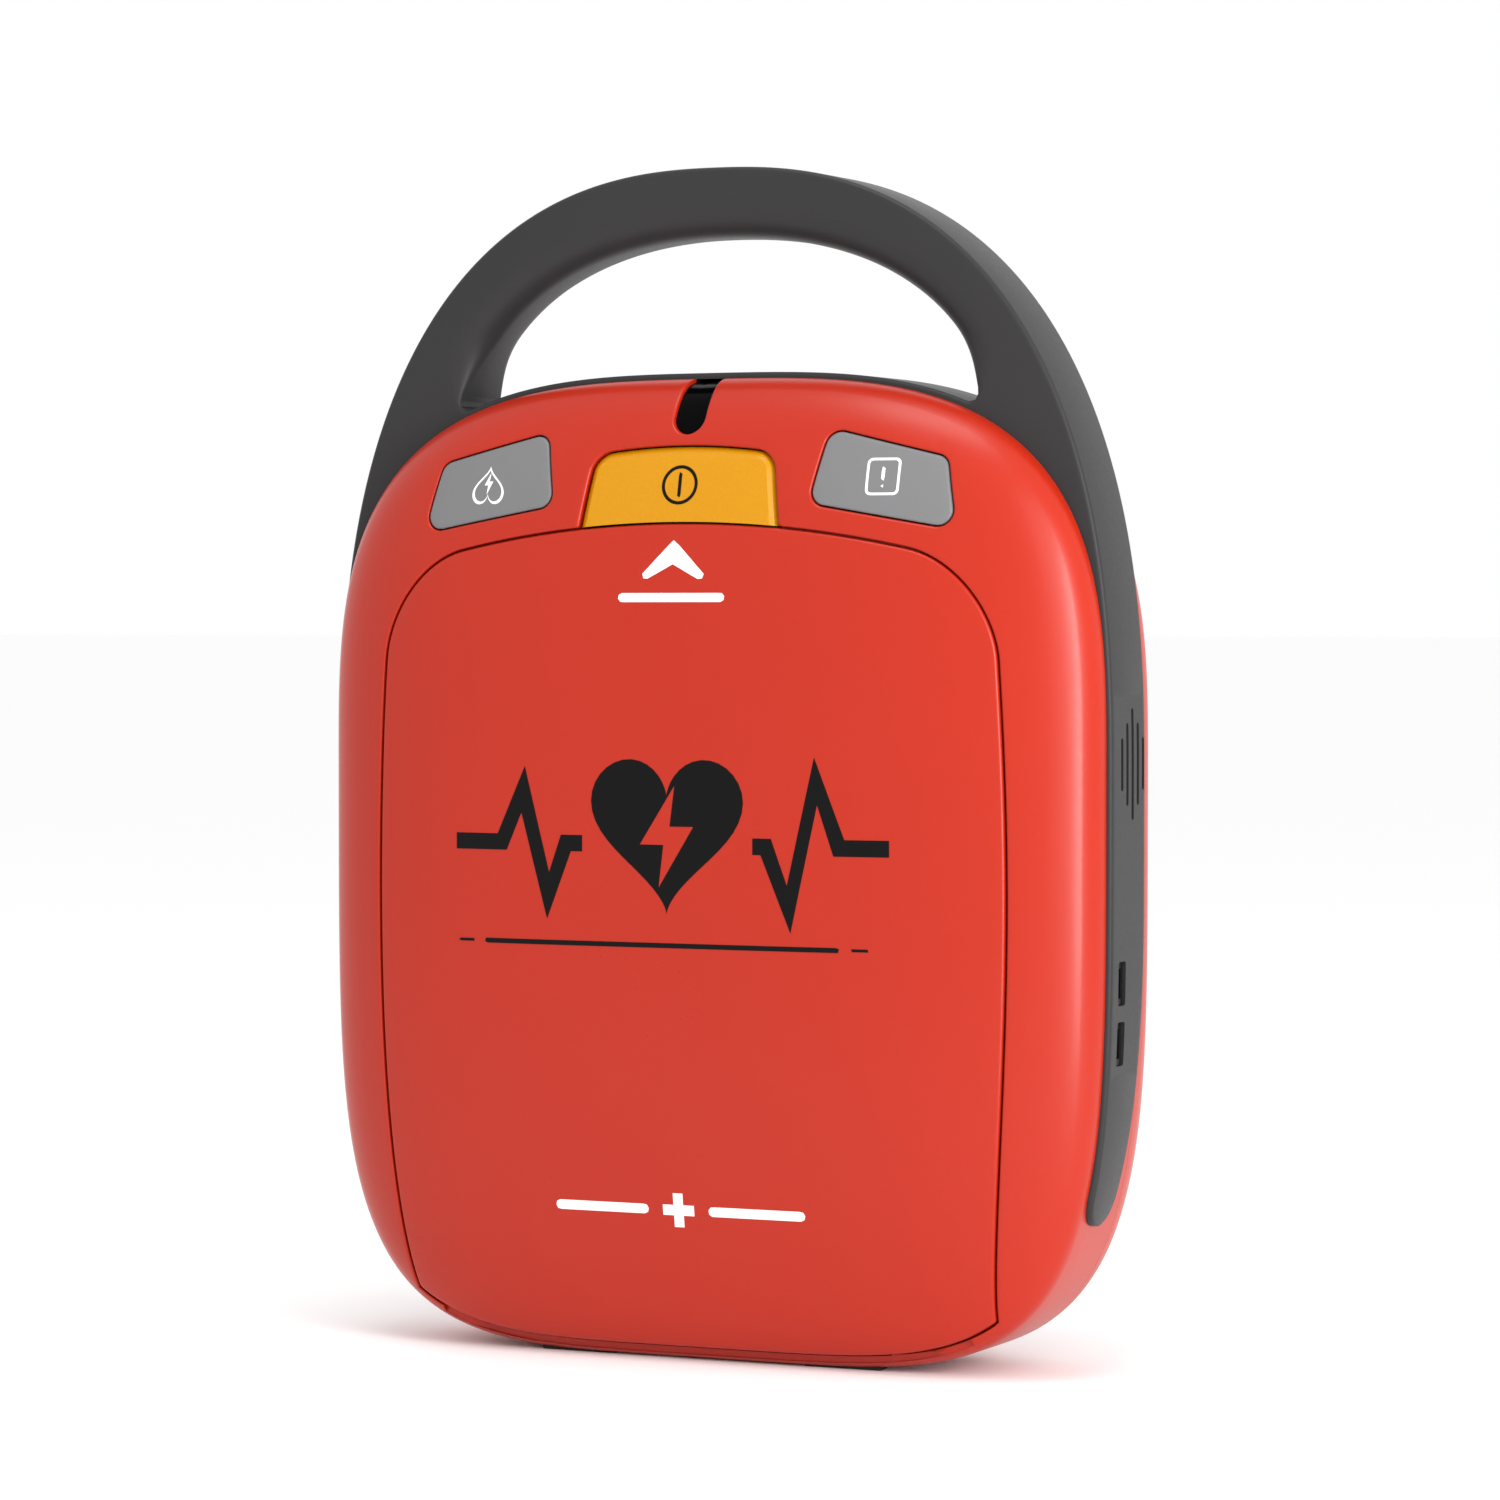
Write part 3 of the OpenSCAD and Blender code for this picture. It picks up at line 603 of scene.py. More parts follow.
def srgb(*levels):
    """The linear colour of three 8-bit levels."""
    shares = [c / 255 for c in levels]
    return tuple(c / 12.92 if c <= 0.04045 else ((c + 0.055) / 1.055) ** 2.4 for c in shares)


RED = material("red_case", srgb(171, 34, 9), rough=0.31, spread=0.04, bump=0.05, tint=0.02, spec=0.33)
CHARCOAL = material("charcoal_band", srgb(46, 45, 46), rough=0.42, spread=0.06, bump=0.12, spec=0.2)
DARK = material("dark_plastic", srgb(42, 42, 44), rough=0.5, spread=0.08, bump=0.14, spec=0.3)
BLACK = material("black_plastic", srgb(14, 14, 15), rough=0.42, spread=0.08, bump=0.1, spec=0.25)
LENS = material("lens", srgb(2, 2, 3), rough=0.12, spread=0.03, bump=0.01, spec=0.04)
YELLOW = material("yellow_button", srgb(192, 131, 2), rough=0.28, spread=0.05, bump=0.03, tint=0.02,
                  spec=0.25)
GREY = material("grey_button", srgb(112, 112, 113), rough=0.42, spread=0.05, bump=0.06, tint=0.03,
                spec=0.3)
RUBBER = material("rubber", srgb(28, 28, 29), rough=0.72, spread=0.08, bump=0.25, spec=0.3)
STEEL = material("steel", srgb(205, 206, 210), rough=0.3, spread=0.1, metal=1.0, grain=500, bump=0.05)
ALUMINIUM = material("aluminium", srgb(214, 215, 218), rough=0.4, spread=0.1, metal=1.0, grain=400, bump=0.06)
COPPER = material("copper_winding", srgb(120, 98, 70), rough=0.55, spread=0.1, bump=0.2)
BOARD = material("circuit_board", srgb(20, 112, 72), rough=0.38, spread=0.08, grain=300, bump=0.1)
WHITE = material("white_plastic", srgb(228, 228, 224), rough=0.45, spread=0.07, bump=0.08)
RIBBON = material("ribbon", srgb(176, 178, 182), rough=0.5, spread=0.06, bump=0.06)
FOIL = material("foil", srgb(150, 154, 160), rough=0.36, spread=0.12, metal=0.85, grain=260, bump=0.2,
                depth=0.0003)
SLEEVE = material("cell_sleeve", srgb(60, 130, 190), rough=0.3, spread=0.06, bump=0.04)
GOLD = material("gold", srgb(228, 190, 110), rough=0.25, spread=0.06, metal=1.0)
INK_WHITE = material("print_white", srgb(240, 240, 238), rough=0.5, spread=0.05, bump=0.03, tint=0.01)
INK_BLACK = material("print_black", srgb(8, 8, 8), rough=0.5, spread=0.06, bump=0.03, spec=0.12)

FINISH = {
    "red_case": RED, "charcoal_band": CHARCOAL, "dark_plastic": DARK, "black_plastic": BLACK,
    "lens": LENS, "yellow_button": YELLOW, "grey_button": GREY, "rubber": RUBBER, "steel": STEEL,
    "aluminium": ALUMINIUM, "copper_winding": COPPER, "circuit_board": BOARD,
    "white_plastic": WHITE, "ribbon": RIBBON, "foil": FOIL, "cell_sleeve": SLEEVE, "gold": GOLD,
}
for sub in frame["record"]["subparts"]:
    ob = frame["nodes"][sub["node"]]
    ob.data.materials.clear()
    ob.data.materials.append(FINISH[sub["material_slot"]])

# ---- front case
SHELL, RINGZ, THICK, LEDGE, LOW, TROUGH, TROUGH_END, GROOVE, SLOT = range(9)
PLAY, LENS_PLAY = 0.35, 0.1
GROOVE_W, GROOVE_HALF, GROOVE_TOP = 2.1, 72.0, 14.0
GROOVE_DEEP, GROOVE_MORE, MORE_HALF, MORE_RUN = 0.8, 0.9, 64, 3
TROUGH_HALF, END_HALF, END_R = 50.0, 60.0, 2.9
LEDGE_BACK, GROOVE_BACK, FRONT_BACK = EDGE - 2, EDGE + 0.1, PARTING - 0.1
TROUGH_T, SLOT_T, LEDGE_T, LEAST = 1.6, 1.5, 2, 0.5
TRAY = grown((-tray_hi[0], tray_lo[2], tray_hi[0], tray_hi[2]), 0.3)
TRAY_R = 10
EDGE_LID, EDGE_POWER, EDGE_WINDOW, EDGE_LENS = 0.7, 1.0, 0.7, 0.5
POWER_AT, WINDOW_AT = (0, 214), (53, 216)


def front_zone(x, z):
    f, ax, up = lid(x, z), np.abs(x), np.abs(z - HINGE_Z)
    low = (ax < GROOVE_HALF) & (z < GROOVE_TOP)
    k = np.where(rho(x, z, WALL) < 1, SHELL, RINGZ)
    k = np.where((f < WALL) & (k == SHELL), THICK, k)
    k = np.where((f < GROOVE_W) & low, GROOVE, k)
    k = np.where(f < SEAM, LEDGE, k)
    k = np.where((f < SEAM) & low, LOW, k)
    k = np.where((f < SEAM) & (ax < END_HALF) & (up < END_R), TROUGH_END, k)
    k = np.where((f < SEAM) & (ax < TROUGH_HALF) & (up < CHANNEL), TROUGH, k)
    k = np.where(box(x, z, *TRAY, TRAY_R) < 0, -1, k)
    k = np.where((power(x, z) < PLAY) | (window(ax, z) < PLAY), -1, k)
    k = np.where(lens(x, z) < LENS_PLAY, SLOT, k)
    return np.where(rho(x, z) > 1, -1, k)


def groove_floor(x):
    """Depth of the cut under the lid's lower edge, a little deeper where the hinge channel ends."""
    return HINGE_Y + GROOVE_DEEP + GROOVE_MORE * np.clip((MORE_HALF - np.abs(x)) / MORE_RUN, 0, 1)


def ledge(x, z):
    return np.minimum(dome(x, z, SILL), LEDGE_BACK)


def front_top(x, z, k):
    if k == LEDGE:
        return ledge(x, z)
    if k in (TROUGH, TROUGH_END):
        r = CHANNEL if k == TROUGH else END_R
        arc = np.sqrt(np.maximum(r**2 - (z - HINGE_Z) ** 2, 0))
        return HINGE_Y + np.maximum(arc, groove_floor(x) - HINGE_Y)
    if k == LOW:
        return np.maximum(ledge(x, z), groove_floor(x))
    if k == GROOVE:
        return np.maximum(dome(x, z), groove_floor(x))
    if k == SLOT:
        return dome(x, z, SILL)
    y = dome(x, z) + fall(lid(x, z) - SEAM, EDGE_LID) + fall(power(x, z) - PLAY, EDGE_POWER)
    return y + fall(window(np.abs(x), z) - PLAY, EDGE_WINDOW) + fall(lens(x, z) - LENS_PLAY, EDGE_LENS)


def front_bottom(x, z, k):
    if k == SHELL:
        return dome(x, z, WALL)
    if k == RINGZ:
        return np.full(x.shape, FRONT_BACK)
    if k in (TROUGH, TROUGH_END, LOW):
        return front_top(x, z, k) + TROUGH_T
    if k == SLOT:
        return dome(x, z, SILL) + SLOT_T
    if k == GROOVE:
        return np.full(x.shape, GROOVE_BACK)
    return np.maximum(dome(x, z, SILL + LEDGE_T), front_top(x, z, k) + LEAST)


SEAT_LOWER, SEAT_PLAY, SEAT_LEAST, SEAT_OPEN = 0.3, 0.08, 0.2, 0.25
ON_RIM = 2e-5


def seat_depth(z):
    """How deep the band's seat still is where it meets the rear case."""
    return np.where(tongue(z)[1] > PARTING - SEAT_OPEN, PROUD, 0.0)


def front_skirt(x, z, y_top, y_bottom):
    """The straight side of the case behind the crown, with the seat of the band let into it."""
    y0, y1 = (float(q) for q in tongue(z - SEAT_LOWER))
    y0, y1 = max(y0 - SEAT_PLAY, EDGE), min(y1 + SEAT_PLAY, FRONT_BACK)
    deep = PROUD if y1 > y0 + SEAT_LEAST else 0.0
    end = float(seat_depth(z - SEAT_LOWER))
    seat = max(y0, y_top)
    levels = [(y_top, 0.0), (seat, 0.0), (seat, deep), (y1, deep), (y1, end), (y_bottom, end)]
    return [(*inset(x, z, d)[:1], y, max(inset(x, z, d)[1], FLOOR)) for y, d in levels]


def on_rim(x, z):
    return np.abs(rho(x, z) - 1) < ON_RIM


lid_edge = bends(lambda x, z: lid(x, z) - SEAM, (0, LID_WAIST), -EDGE_LID, 1.8, 0.8)
power_edge = bends(lambda x, z: power(x, z) - PLAY, POWER_AT, -EDGE_POWER, 1.0, far=40)
right_edge = bends(lambda x, z: window(x, z) - PLAY, WINDOW_AT, -EDGE_WINDOW, 1.0, far=40)
left_edge = [p * [-1, 1] for p in right_edge]
lens_edge = bends(lambda x, z: lens(x, z) - LENS_PLAY, (0, 236), -EDGE_LENS, 0.8, far=60)
slow_rings = [ring(dome_ring(a, DOME_N)) for a in RIM_RINGS]
front_loops = [RIM, contour(lambda x, z: rho(x, z, WALL) - 1, 0, WIDE, 2.2),
               contour(lambda x, z: lid(x, z) - GROOVE_W, 0, LID_WAIST, 2.5),
               contour(lambda x, z: lid(x, z) - WALL, 0, LID_WAIST, 3.0),
               rect(*TRAY, TRAY_R),
               rect(-TROUGH_HALF, HINGE_Z - CHANNEL, TROUGH_HALF, HINGE_Z + CHANNEL, 0, 3.0),
               rect(-END_HALF, HINGE_Z - END_R, END_HALF, HINGE_Z + END_R, 0, 3.0)]
front_loops += lid_edge + power_edge + right_edge + left_edge + lens_edge + slow_rings
front_lines = [segment((s * GROOVE_HALF, 2.0), (s * GROOVE_HALF, GROOVE_TOP), 2.0) for s in (-1, 1)]
front_lines.append(segment((-GROOVE_HALF, GROOVE_TOP), (GROOVE_HALF, GROOVE_TOP), 3.0))
front_lines += [segment((-END_HALF, z), (END_HALF, z), 4.0)
                for z in (3.4, 4.6, 6.0, HINGE_Z + GROOVE_DEEP, 9.2, 10.6)]
front_lines.append(BASE_LINE)
v, tri = triangles(front_loops, front_lines, dome_points(DOME_N), 0.7)
co, faces = slab(v, tri, front_zone, front_top, front_bottom, on_rim, front_skirt, seat_depth, FLOOR)
piece("case_front_skin", co, faces, RED, "case", ["front_case"])

# ---- lid
LID_T, EDGE_L = 2.6, 0.8
INK = 0.06
RELIEF, RELIEF_R = (21.7, 44.3), 2.65


def lid_top(x, z, k=0):
    """The lid's face, sunk by the ink so that the prints on it stay inside the CAD."""
    return dome(x, z) + INK + fall(-lid(x, z), EDGE_L)


def lid_bottom(x, z, k):
    """The lid's inside, cleared for the hinge knuckles."""
    y = np.minimum(dome(x, z, LID_T), HINGE_Y + 1)
    relief = HINGE_Y - np.sqrt(np.maximum(RELIEF_R**2 - (z - HINGE_Z) ** 2, 0))
    ax = np.abs(x)
    over = (ax > RELIEF[0]) & (ax < RELIEF[1]) & (np.abs(z - HINGE_Z) < RELIEF_R)
    y = np.where(over, np.minimum(y, relief), y)
    return np.maximum(y, lid_top(x, z) + 0.3)


inner = bends(lid, (0, LID_WAIST), EDGE_L, 1.8, 0.8)
hinge_grid = [(s * x, z) for s in (-1, 1) for x in np.arange(20.5, 46, 1.6)
              for z in np.arange(4.1, 10.6, 0.55)]
hinge_lines = [segment((s * x, 4.0), (s * x, 10.2), 0.55) for s in (-1, 1) for x in RELIEF]
lid_points = np.vstack([dome_points(DOME_N), hinge_grid])
v, tri = triangles(inner + slow_rings[4:], hinge_lines, lid_points, 0.5)
co, faces = slab(v, tri, within(lid), lid_top, lid_bottom)
piece("lid_skin", co, faces, RED, "lid", ["lid"])

# ---- buttons and lens
DEEP, POWER_DEEP = 4.8, 3.4
CAP_SINK, LENS_SINK = 0.1, 1.0
BEVEL_POWER, BEVEL_WINDOW, BEVEL_LENS = 1.7, 0.6, 0.4


def slope(d, r):
    """A bevel r wide and nearly as deep, eased at both ends."""
    t = np.clip(1 - d / r, 0, 1)
    return 0.8 * r * (t + 0.2 * t**4) * np.minimum(t / 0.2, 1)


def cap(name, f, at, edge, mat, button, shoulder=None, deep=DEEP):
    """A button's cap with a rounded edge, or with a bevel along its shoulder."""
    loops = bends(f, at, edge, 0.9, far=40)
    p0, p1 = loops[0].min(0), loops[0].max(0)
    grid = [(x, z) for x in np.arange(p0[0], p1[0], 2.0) for z in np.arange(p0[1], p1[1], 2.0)
            if f(x, z) < -edge - 0.3]
    if shoulder:
        for k in (0, 0.35, 0.7, 1.0, 1.3):
            line = contour(lambda x, z: shoulder(x, z) + edge * k, *at, 0.9, 60)
            grid += [tuple(q) for q in line if f(*q) < -0.3 and f(*q) - shoulder(*q) > 0.05]
    v, tri = triangles(loops, [], grid, 0.3 if shoulder else 0.6)

    def top(x, z, k):
        return dome(x, z, CAP_SINK) + (slope(-shoulder(x, z), edge) if shoulder else fall(-f(x, z), edge))

    co, faces = slab(v, tri, within(f), top, lambda x, z, k: dome(x, z, deep))
    piece(name, co, faces, mat, button, [button])


cap("power_cap", power, POWER_AT, BEVEL_POWER, YELLOW, "power_button",
    shoulder=power_shoulder, deep=POWER_DEEP)
cap("info_cap", window, WINDOW_AT, BEVEL_WINDOW, GREY, "info_button")
cap("shock_cap", window_left, (-WINDOW_AT[0], WINDOW_AT[1]), BEVEL_WINDOW, GREY,
    "shock_button")


def lens_in(x, z):
    return np.maximum(lens(x, z) + 0.02, outline(x, z) + 0.3)


loops = bends(lens_in, (0, 235), BEVEL_LENS, 0.7, far=40)
grid = [(x, z) for x in (-2, -1, 0, 1, 2) for z in np.arange(229, 242, 1.0)]
v, tri = triangles(loops, [], grid, 0.4)
co, faces = slab(v, tri, within(lens_in),
                 lambda x, z, k: dome(x, z, LENS_SINK) + fall(-lens_in(x, z), BEVEL_LENS),
                 lambda x, z, k: dome(x, z, WALL))
piece("lens_window", co, faces, LENS, "case", ["status_lens"])

# ---- handle band
BEVEL = 1.3
GRILLE_Z, GRILLE_Y, GRILLE_PITCH = 148.0, MID + 2.4, 3.5
GRILLE_HALF, GRILLE_DEEP = 0.75, 2.2
SLOTS = [(half, (i - 2) * GRILLE_PITCH) for i, half in enumerate((6.4, 10.0, 13.5, 10.0, 6.4))]
PORTS = [95.5, 81.0]
PORT_Y = MID - 4.1
PORT_X, PORT_HALF, PORT_DEEP = 5.3, 2.4, 2.5
GRIP_LEAST, GRIP_MORE, GRIP_FROM, GRIP_RUN = 1.0, 7.0, 3.0, 15.0
BAND_SINK, BAND_LEAST, ON_BAND = 0.04, 0.02, 2e-4


def grip_round(x, z):
    """Radius of the edge round the handle opening: small along the case, large on the grip."""
    t = np.clip((outline(x, z) - GRIP_FROM) / GRIP_RUN, 0, 1)
    return GRIP_LEAST + GRIP_MORE * t * t * (3 - 2 * t)


def graded(p, fine=RIM_FINE):
    return spaced(np.vstack([p, p[:1]]), fine)


def settle(p, f, cx, cz):
    """Points moved along the ray from a centre onto the contour f = 0."""
    d = p - [cx, cz]
    r = np.hypot(d[:, 0], d[:, 1])
    u = d / r[:, None]
    lo, hi = r - 1.5, r + 1.5
    for _ in range(40):
        m = (lo + hi) / 2
        out = f(cx + m * u[:, 0], cz + m * u[:, 1]) > 0
        hi, lo = np.where(out, m, hi), np.where(out, lo, m)
    return np.c_[cx + hi * u[:, 0], cz + hi * u[:, 1]]


def band_zone(x, z):
    solid = (band_outside(x, z) < 0) & (rho(x, z, PROUD) > 1) & (opening(x, z) > 0) & (z > TIP_Z)
    return np.where(solid, 0, -1)


def band_front(x, z, k=0):
    y0, y1 = tongue(z)
    y = y0 + BAND_SINK + fall(-band_outside(x, z), BEVEL) + fall(opening(x, z), grip_round(x, z))
    return np.minimum(y, (y0 + y1) / 2 - BAND_LEAST)


def band_back(x, z, k=0):
    y0, y1 = tongue(z)
    y = y1 - BAND_SINK - fall(-band_outside(x, z), BEVEL) - fall(opening(x, z), grip_round(x, z))
    return np.maximum(y, (y0 + y1) / 2 + BAND_LEAST)


def outer_x(z):
    low = (HALF + PROUD) * (1 - np.clip((WIDE - z) / (WIDE + PROUD), 0, 1) ** N_BASE) ** (1 / N_BASE)
    high = (HALF + PROUD) * (1 - np.clip((z - WIDE) / (TOP - WIDE), 0, 1) ** N_BAND) ** (1 / N_BAND)
    return np.where(z < WIDE, low, high)


band_rim = settle(graded(contour(band_outside, 0, WIDE, 1.0)), band_outside, 0, WIDE)
loops = [band_rim, graded(contour(lambda x, z: rho(x, z, PROUD) - 1, 0, WIDE, 1.0))]
loops += [graded(contour(lambda x, z, k=k: band_outside(x, z) + BEVEL * k, 0, WIDE, 1.0), 0.6)
          for k in ROUND[1:]]
loops += [contour(lambda x, z, k=k: opening(x, z) - grip_round(x, z) * k, 0, 274, 1.6, 90)
          for k in turned(0, 12, 24, 36, 48, 60, 72, 82, 90)]
lines = [np.array([(s * 80.0, TIP_Z), (s * 110.0, TIP_Z)]) for s in (-1, 1)]
gx, gz = lattice(-106, 107, 3.2, 36, 296, 3.2)
inside = (band_outside(gx, gz) < -1.6) & (rho(gx, gz, PROUD) > 1.01) & (opening(gx, gz) > 0.5)
v, tri = triangles(loops, lines, np.c_[gx, gz][inside], 0.9)

# the grille and the ports are let into a patch of the band's right side
PATCH_LO, PATCH_HI = 70.0, 168.0


def on_band_rim(x, z):
    return abs(float(band_outside(np.array([x]), np.array([z]))[0])) < ON_BAND


def in_patch(x, z):
    return x > 0 and PATCH_LO < z < PATCH_HI


co, faces = slab(v, tri, band_zone, band_front, band_back)
patch_edges, kept = [], []
for f in faces:
    p = co[list(f)]
    upright = len(f) == 4 and np.ptp(p[:, 1]) > 1
    if upright and all(on_band_rim(q[0], q[2]) and in_patch(q[0], q[2]) for q in p):
        patch_edges.append(p)
    else:
        kept.append(f)
ends = np.unique(np.round(np.vstack(patch_edges)[:, 2], 9))


def border(depth):
    """The patch's border along one face of the band, as (height, depth)."""
    return np.array([(z, float(depth(outer_x(np.array([z])), np.array([z]))[0])) for z in ends])


pits = [(GRILLE_DEEP, rect(GRILLE_Z - half, GRILLE_Y + y - GRILLE_HALF, GRILLE_Z + half,
                           GRILLE_Y + y + GRILLE_HALF, 0.74, 0.5)) for half, y in SLOTS]
pits += [(PORT_DEEP, rect(z - PORT_X, PORT_Y - PORT_HALF, z + PORT_X, PORT_Y + PORT_HALF, 0.6, 0.6))
         for z in PORTS]
ring_loop = np.vstack([border(band_front), border(band_back)[::-1]])
gz, gy = lattice(ends[0] + 2, ends[-1] - 1, 2.5, EDGE + 2.5, PARTING - 2, 2.0)
pv, ptri = triangles([ring_loop] + [p for _, p in pits], [], np.c_[gz, gy], 0.6)


def pit_zone(a, b):
    k = np.where(poly(a, b, [tuple(q) for q in ring_loop]) < 0, 0, -1)
    for i, (_, loop) in enumerate(pits):
        k = np.where(poly(a, b, [tuple(q) for q in loop]) < 0, i + 1, k)
    return k


def sheet_over(v, tri, zone, depth):
    """An open sheet over triangles, with walls between regions of different depth, as (a, b, height)."""
    c = v[tri].mean(1)
    k = zone(c[:, 0], c[:, 1])
    used, inv, at = regions(tri[k >= 0], k[k >= 0])
    a, b = v[used[:, 0]].T
    h = np.array([depth(r) for r in used[:, 1]])
    faces = [tuple(t) for t in inv]
    for uses in at.values():
        if len(uses) == 2 and used[uses[0][0], 1] != used[uses[1][0], 1]:
            (p, q), (r, s) = uses
            faces.append((q, p, s, r))
    return a, b, h, faces


a, b, h, pf = sheet_over(pv, ptri, pit_zone, lambda k: 0.0 if k == 0 else pits[k - 1][0])
patch = np.c_[outer_x(a) - h, b, a]
edge_points = np.unique(np.round(np.vstack(patch_edges), 9), axis=0)
for i, q in enumerate(patch):
    gap = np.abs(edge_points - q).max(1)
    if gap.min() < 0.05:
        patch[i] = edge_points[gap.argmin()]
co, faces = join([(co, kept), (patch, pf)])
piece("handle_band_skin", co, faces, CHARCOAL, "case", ["handle_band"], angle=30)

# ---- rear case
R_WALL = 2.6
bay_x = pack_hi[0] + 0.4
BAY = (-bay_x, pack_lo[2] - 0.4, bay_x, pack_hi[2] + 0.4)
BAY_Y = FRONT + 47.0
BAY_WALL = 2.0
LABEL = (label_lo[0], label_lo[2], label_hi[0], label_hi[2])
LATCH_HALF = 13.5
NOTCH = (-LATCH_HALF, BAY[3] - 1, LATCH_HALF, BAY[3] + 1.4)
POSTS = [(76.0, 210.0), (93.5, 112.0), (80.0, 28.0)]
PIT_R, POST_R, PAD_R = 3.3, 4.5, 6.1
NOTCH_Y, PIT_Y, LABEL_Y, PAD_Y = FRONT + 64.0, PARTING + 4.0, BACK - 0.62, BACK - 1.0
REAR_PADS = [(42.0, 180.0)]
EDGE_BAY, EDGE_PIT = 1.0, 0.5
R_SHELL, R_RING, R_BAYWALL, R_BAY, R_NOTCH, R_PIT, R_POST, R_LABEL, R_PAD = range(9)


def rear_zone(x, z):
    ax = np.abs(x)
    k = np.where(rho(x, z, R_WALL) < 1, R_SHELL, R_RING)
    for px, pz in POSTS:
        d = np.hypot(ax - px, z - pz)
        k = np.where(d < POST_R, R_POST, k)
        k = np.where(d < PIT_R, R_PIT, k)
    k = np.where(box(x, z, *grown(BAY, BAY_WALL)) < 0, R_BAYWALL, k)
    k = np.where((ax < LATCH_HALF) & (z > NOTCH[1]) & (z < NOTCH[3]), R_NOTCH, k)
    k = np.where(box(x, z, *BAY) < 0, R_BAY, k)
    k = np.where(box(x, z, *LABEL) < 0, R_LABEL, k)
    for px, pz in REAR_PADS:
        k = np.where(np.hypot(ax - px, z - pz) < PAD_R, R_PAD, k)
    return np.where(rho(x, z) > 1, -1, k)


REAR_FLATS = {R_BAY: BAY_Y, R_NOTCH: NOTCH_Y, R_PIT: PIT_Y, R_LABEL: LABEL_Y, R_PAD: PAD_Y}


def rear_top(x, z, k):
    if k in REAR_FLATS:
        return np.full(x.shape, REAR_FLATS[k])
    y = rear(x, z) - fall(box(x, z, *BAY), EDGE_BAY)
    for px, pz in POSTS:
        y = y - fall(np.hypot(np.abs(x) - px, z - pz) - PIT_R, EDGE_PIT)
    return y


def rear_bottom(x, z, k):
    if k in (R_RING, R_POST, R_PIT):
        return np.full(x.shape, PARTING)
    if k in (R_BAYWALL, R_BAY, R_NOTCH):
        return np.full(x.shape, BAY_Y - BAY_WALL)
    return rear(x, z, R_WALL)


def both(p):
    return [p, p * [-1, 1]]


loops = [RIM, contour(lambda x, z: rho(x, z, R_WALL) - 1, 0, WIDE, 2.2),
         rect(*BAY, 0, 2.5), rect(*grown(BAY, BAY_WALL), 0, 3.0), rect(*LABEL, 0, 4.0),
         rect(*NOTCH, 0, 3.0)]
loops += [rect(*grown(BAY, e), 0.05 + e, 2.5) for e in ROUND[1:]]
for px, pz in POSTS:
    for r in [PIT_R, POST_R] + [PIT_R + EDGE_PIT * k for k in ROUND[1:]]:
        loops += both(circle(px, pz, r, 36))
for px, pz in REAR_PADS:
    loops += both(circle(px, pz, PAD_R))
loops += [ring(dome_ring(a, REAR_N)) for a in RIM_RINGS]
v, tri = triangles(loops, [BASE_LINE], dome_points(REAR_N), 0.7)
co, faces = slab(v, tri, rear_zone, rear_top, rear_bottom, floor=FLOOR, facing=1)
piece("case_rear_skin", co, faces, RED, "case", ["rear_case"])

# ---- battery pack
PACK, PACK_R = (-pack_hi[0], pack_lo[2], pack_hi[0], pack_hi[2]), 4
PACK_Y, PACK_T = pack_lo[1], 1.85
B_BODY, B_RIM, B_LATCH, B_PAD = range(4)
BORDER = 1.3
POCKET_HALF, POCKET_UP = 13.4, 40
LATCH_Z = 103.0 - 2.5 - 0.4
LATCH_Y = FRONT + 66.0
PACK_PAD = (38, 80)
EDGE_PACK, EDGE_POCKET = 1.0, 0.6


def pack(x, z):
    return box(x, z, *PACK, PACK_R)


def pack_zone(x, z):
    k = np.where(pack(x, z) < -BORDER, B_BODY, B_RIM)
    k = np.where((np.abs(x) < POCKET_HALF) & (z > LATCH_Z), B_LATCH, k)
    k = np.where(np.hypot(np.abs(x) - PACK_PAD[0], z - PACK_PAD[1]) < PAD_R, B_PAD, k)
    return np.where(pack(x, z) > 0, -1, k)


def pack_top(x, z, k):
    if k == B_LATCH:
        return np.full(x.shape, LATCH_Y)
    if k == B_PAD:
        return np.full(x.shape, PAD_Y)
    y = rear(x, z) - fall(-pack(x, z), EDGE_PACK)
    pocket = box(x, z, -POCKET_HALF, LATCH_Z, POCKET_HALF, LATCH_Z + POCKET_UP)
    return y - fall(pocket, EDGE_POCKET)


def pack_bottom(x, z, k):
    return np.full(x.shape, PACK_Y if k == B_RIM else PACK_Y + PACK_T)


loops = [rect(*grown(PACK, -EDGE_PACK * k), PACK_R - EDGE_PACK * k, 1.8) for k in ROUND]
loops += [rect(*grown(PACK, -BORDER), 2.7, 2.0),
          rect(-POCKET_HALF, LATCH_Z, POCKET_HALF, PACK[3] + 4, 0, 2.0)]
for e in (EDGE_POCKET * k for k in ROUND[1:]):
    loops.append(rect(-POCKET_HALF - e, LATCH_Z - e, POCKET_HALF + e, PACK[3] + 5, e, 2.0))
loops += both(circle(*PACK_PAD, PAD_R))
grid = [(x, z) for x in np.arange(-52, 53, 4.0) for z in np.arange(28, 109, 4.0)]
v, tri = triangles(loops, [], grid, 1.0)
co, faces = slab(v, tri, pack_zone, pack_top, pack_bottom, facing=1)
piece("battery_shell", co, faces, DARK, "battery", ["battery_housing"])

# ---- printed marks, thin ink slabs riding on the crowned faces
def dense(p, step):
    """A closed outline with its corners kept and its long edges divided."""
    q = np.vstack([p, p[:1]])
    out = []
    for a, b in zip(q[:-1], q[1:]):
        n = max(int(math.hypot(*(b - a)) / step), 1)
        out += [a + (b - a) * i / n for i in range(n)]
    return np.array(out)


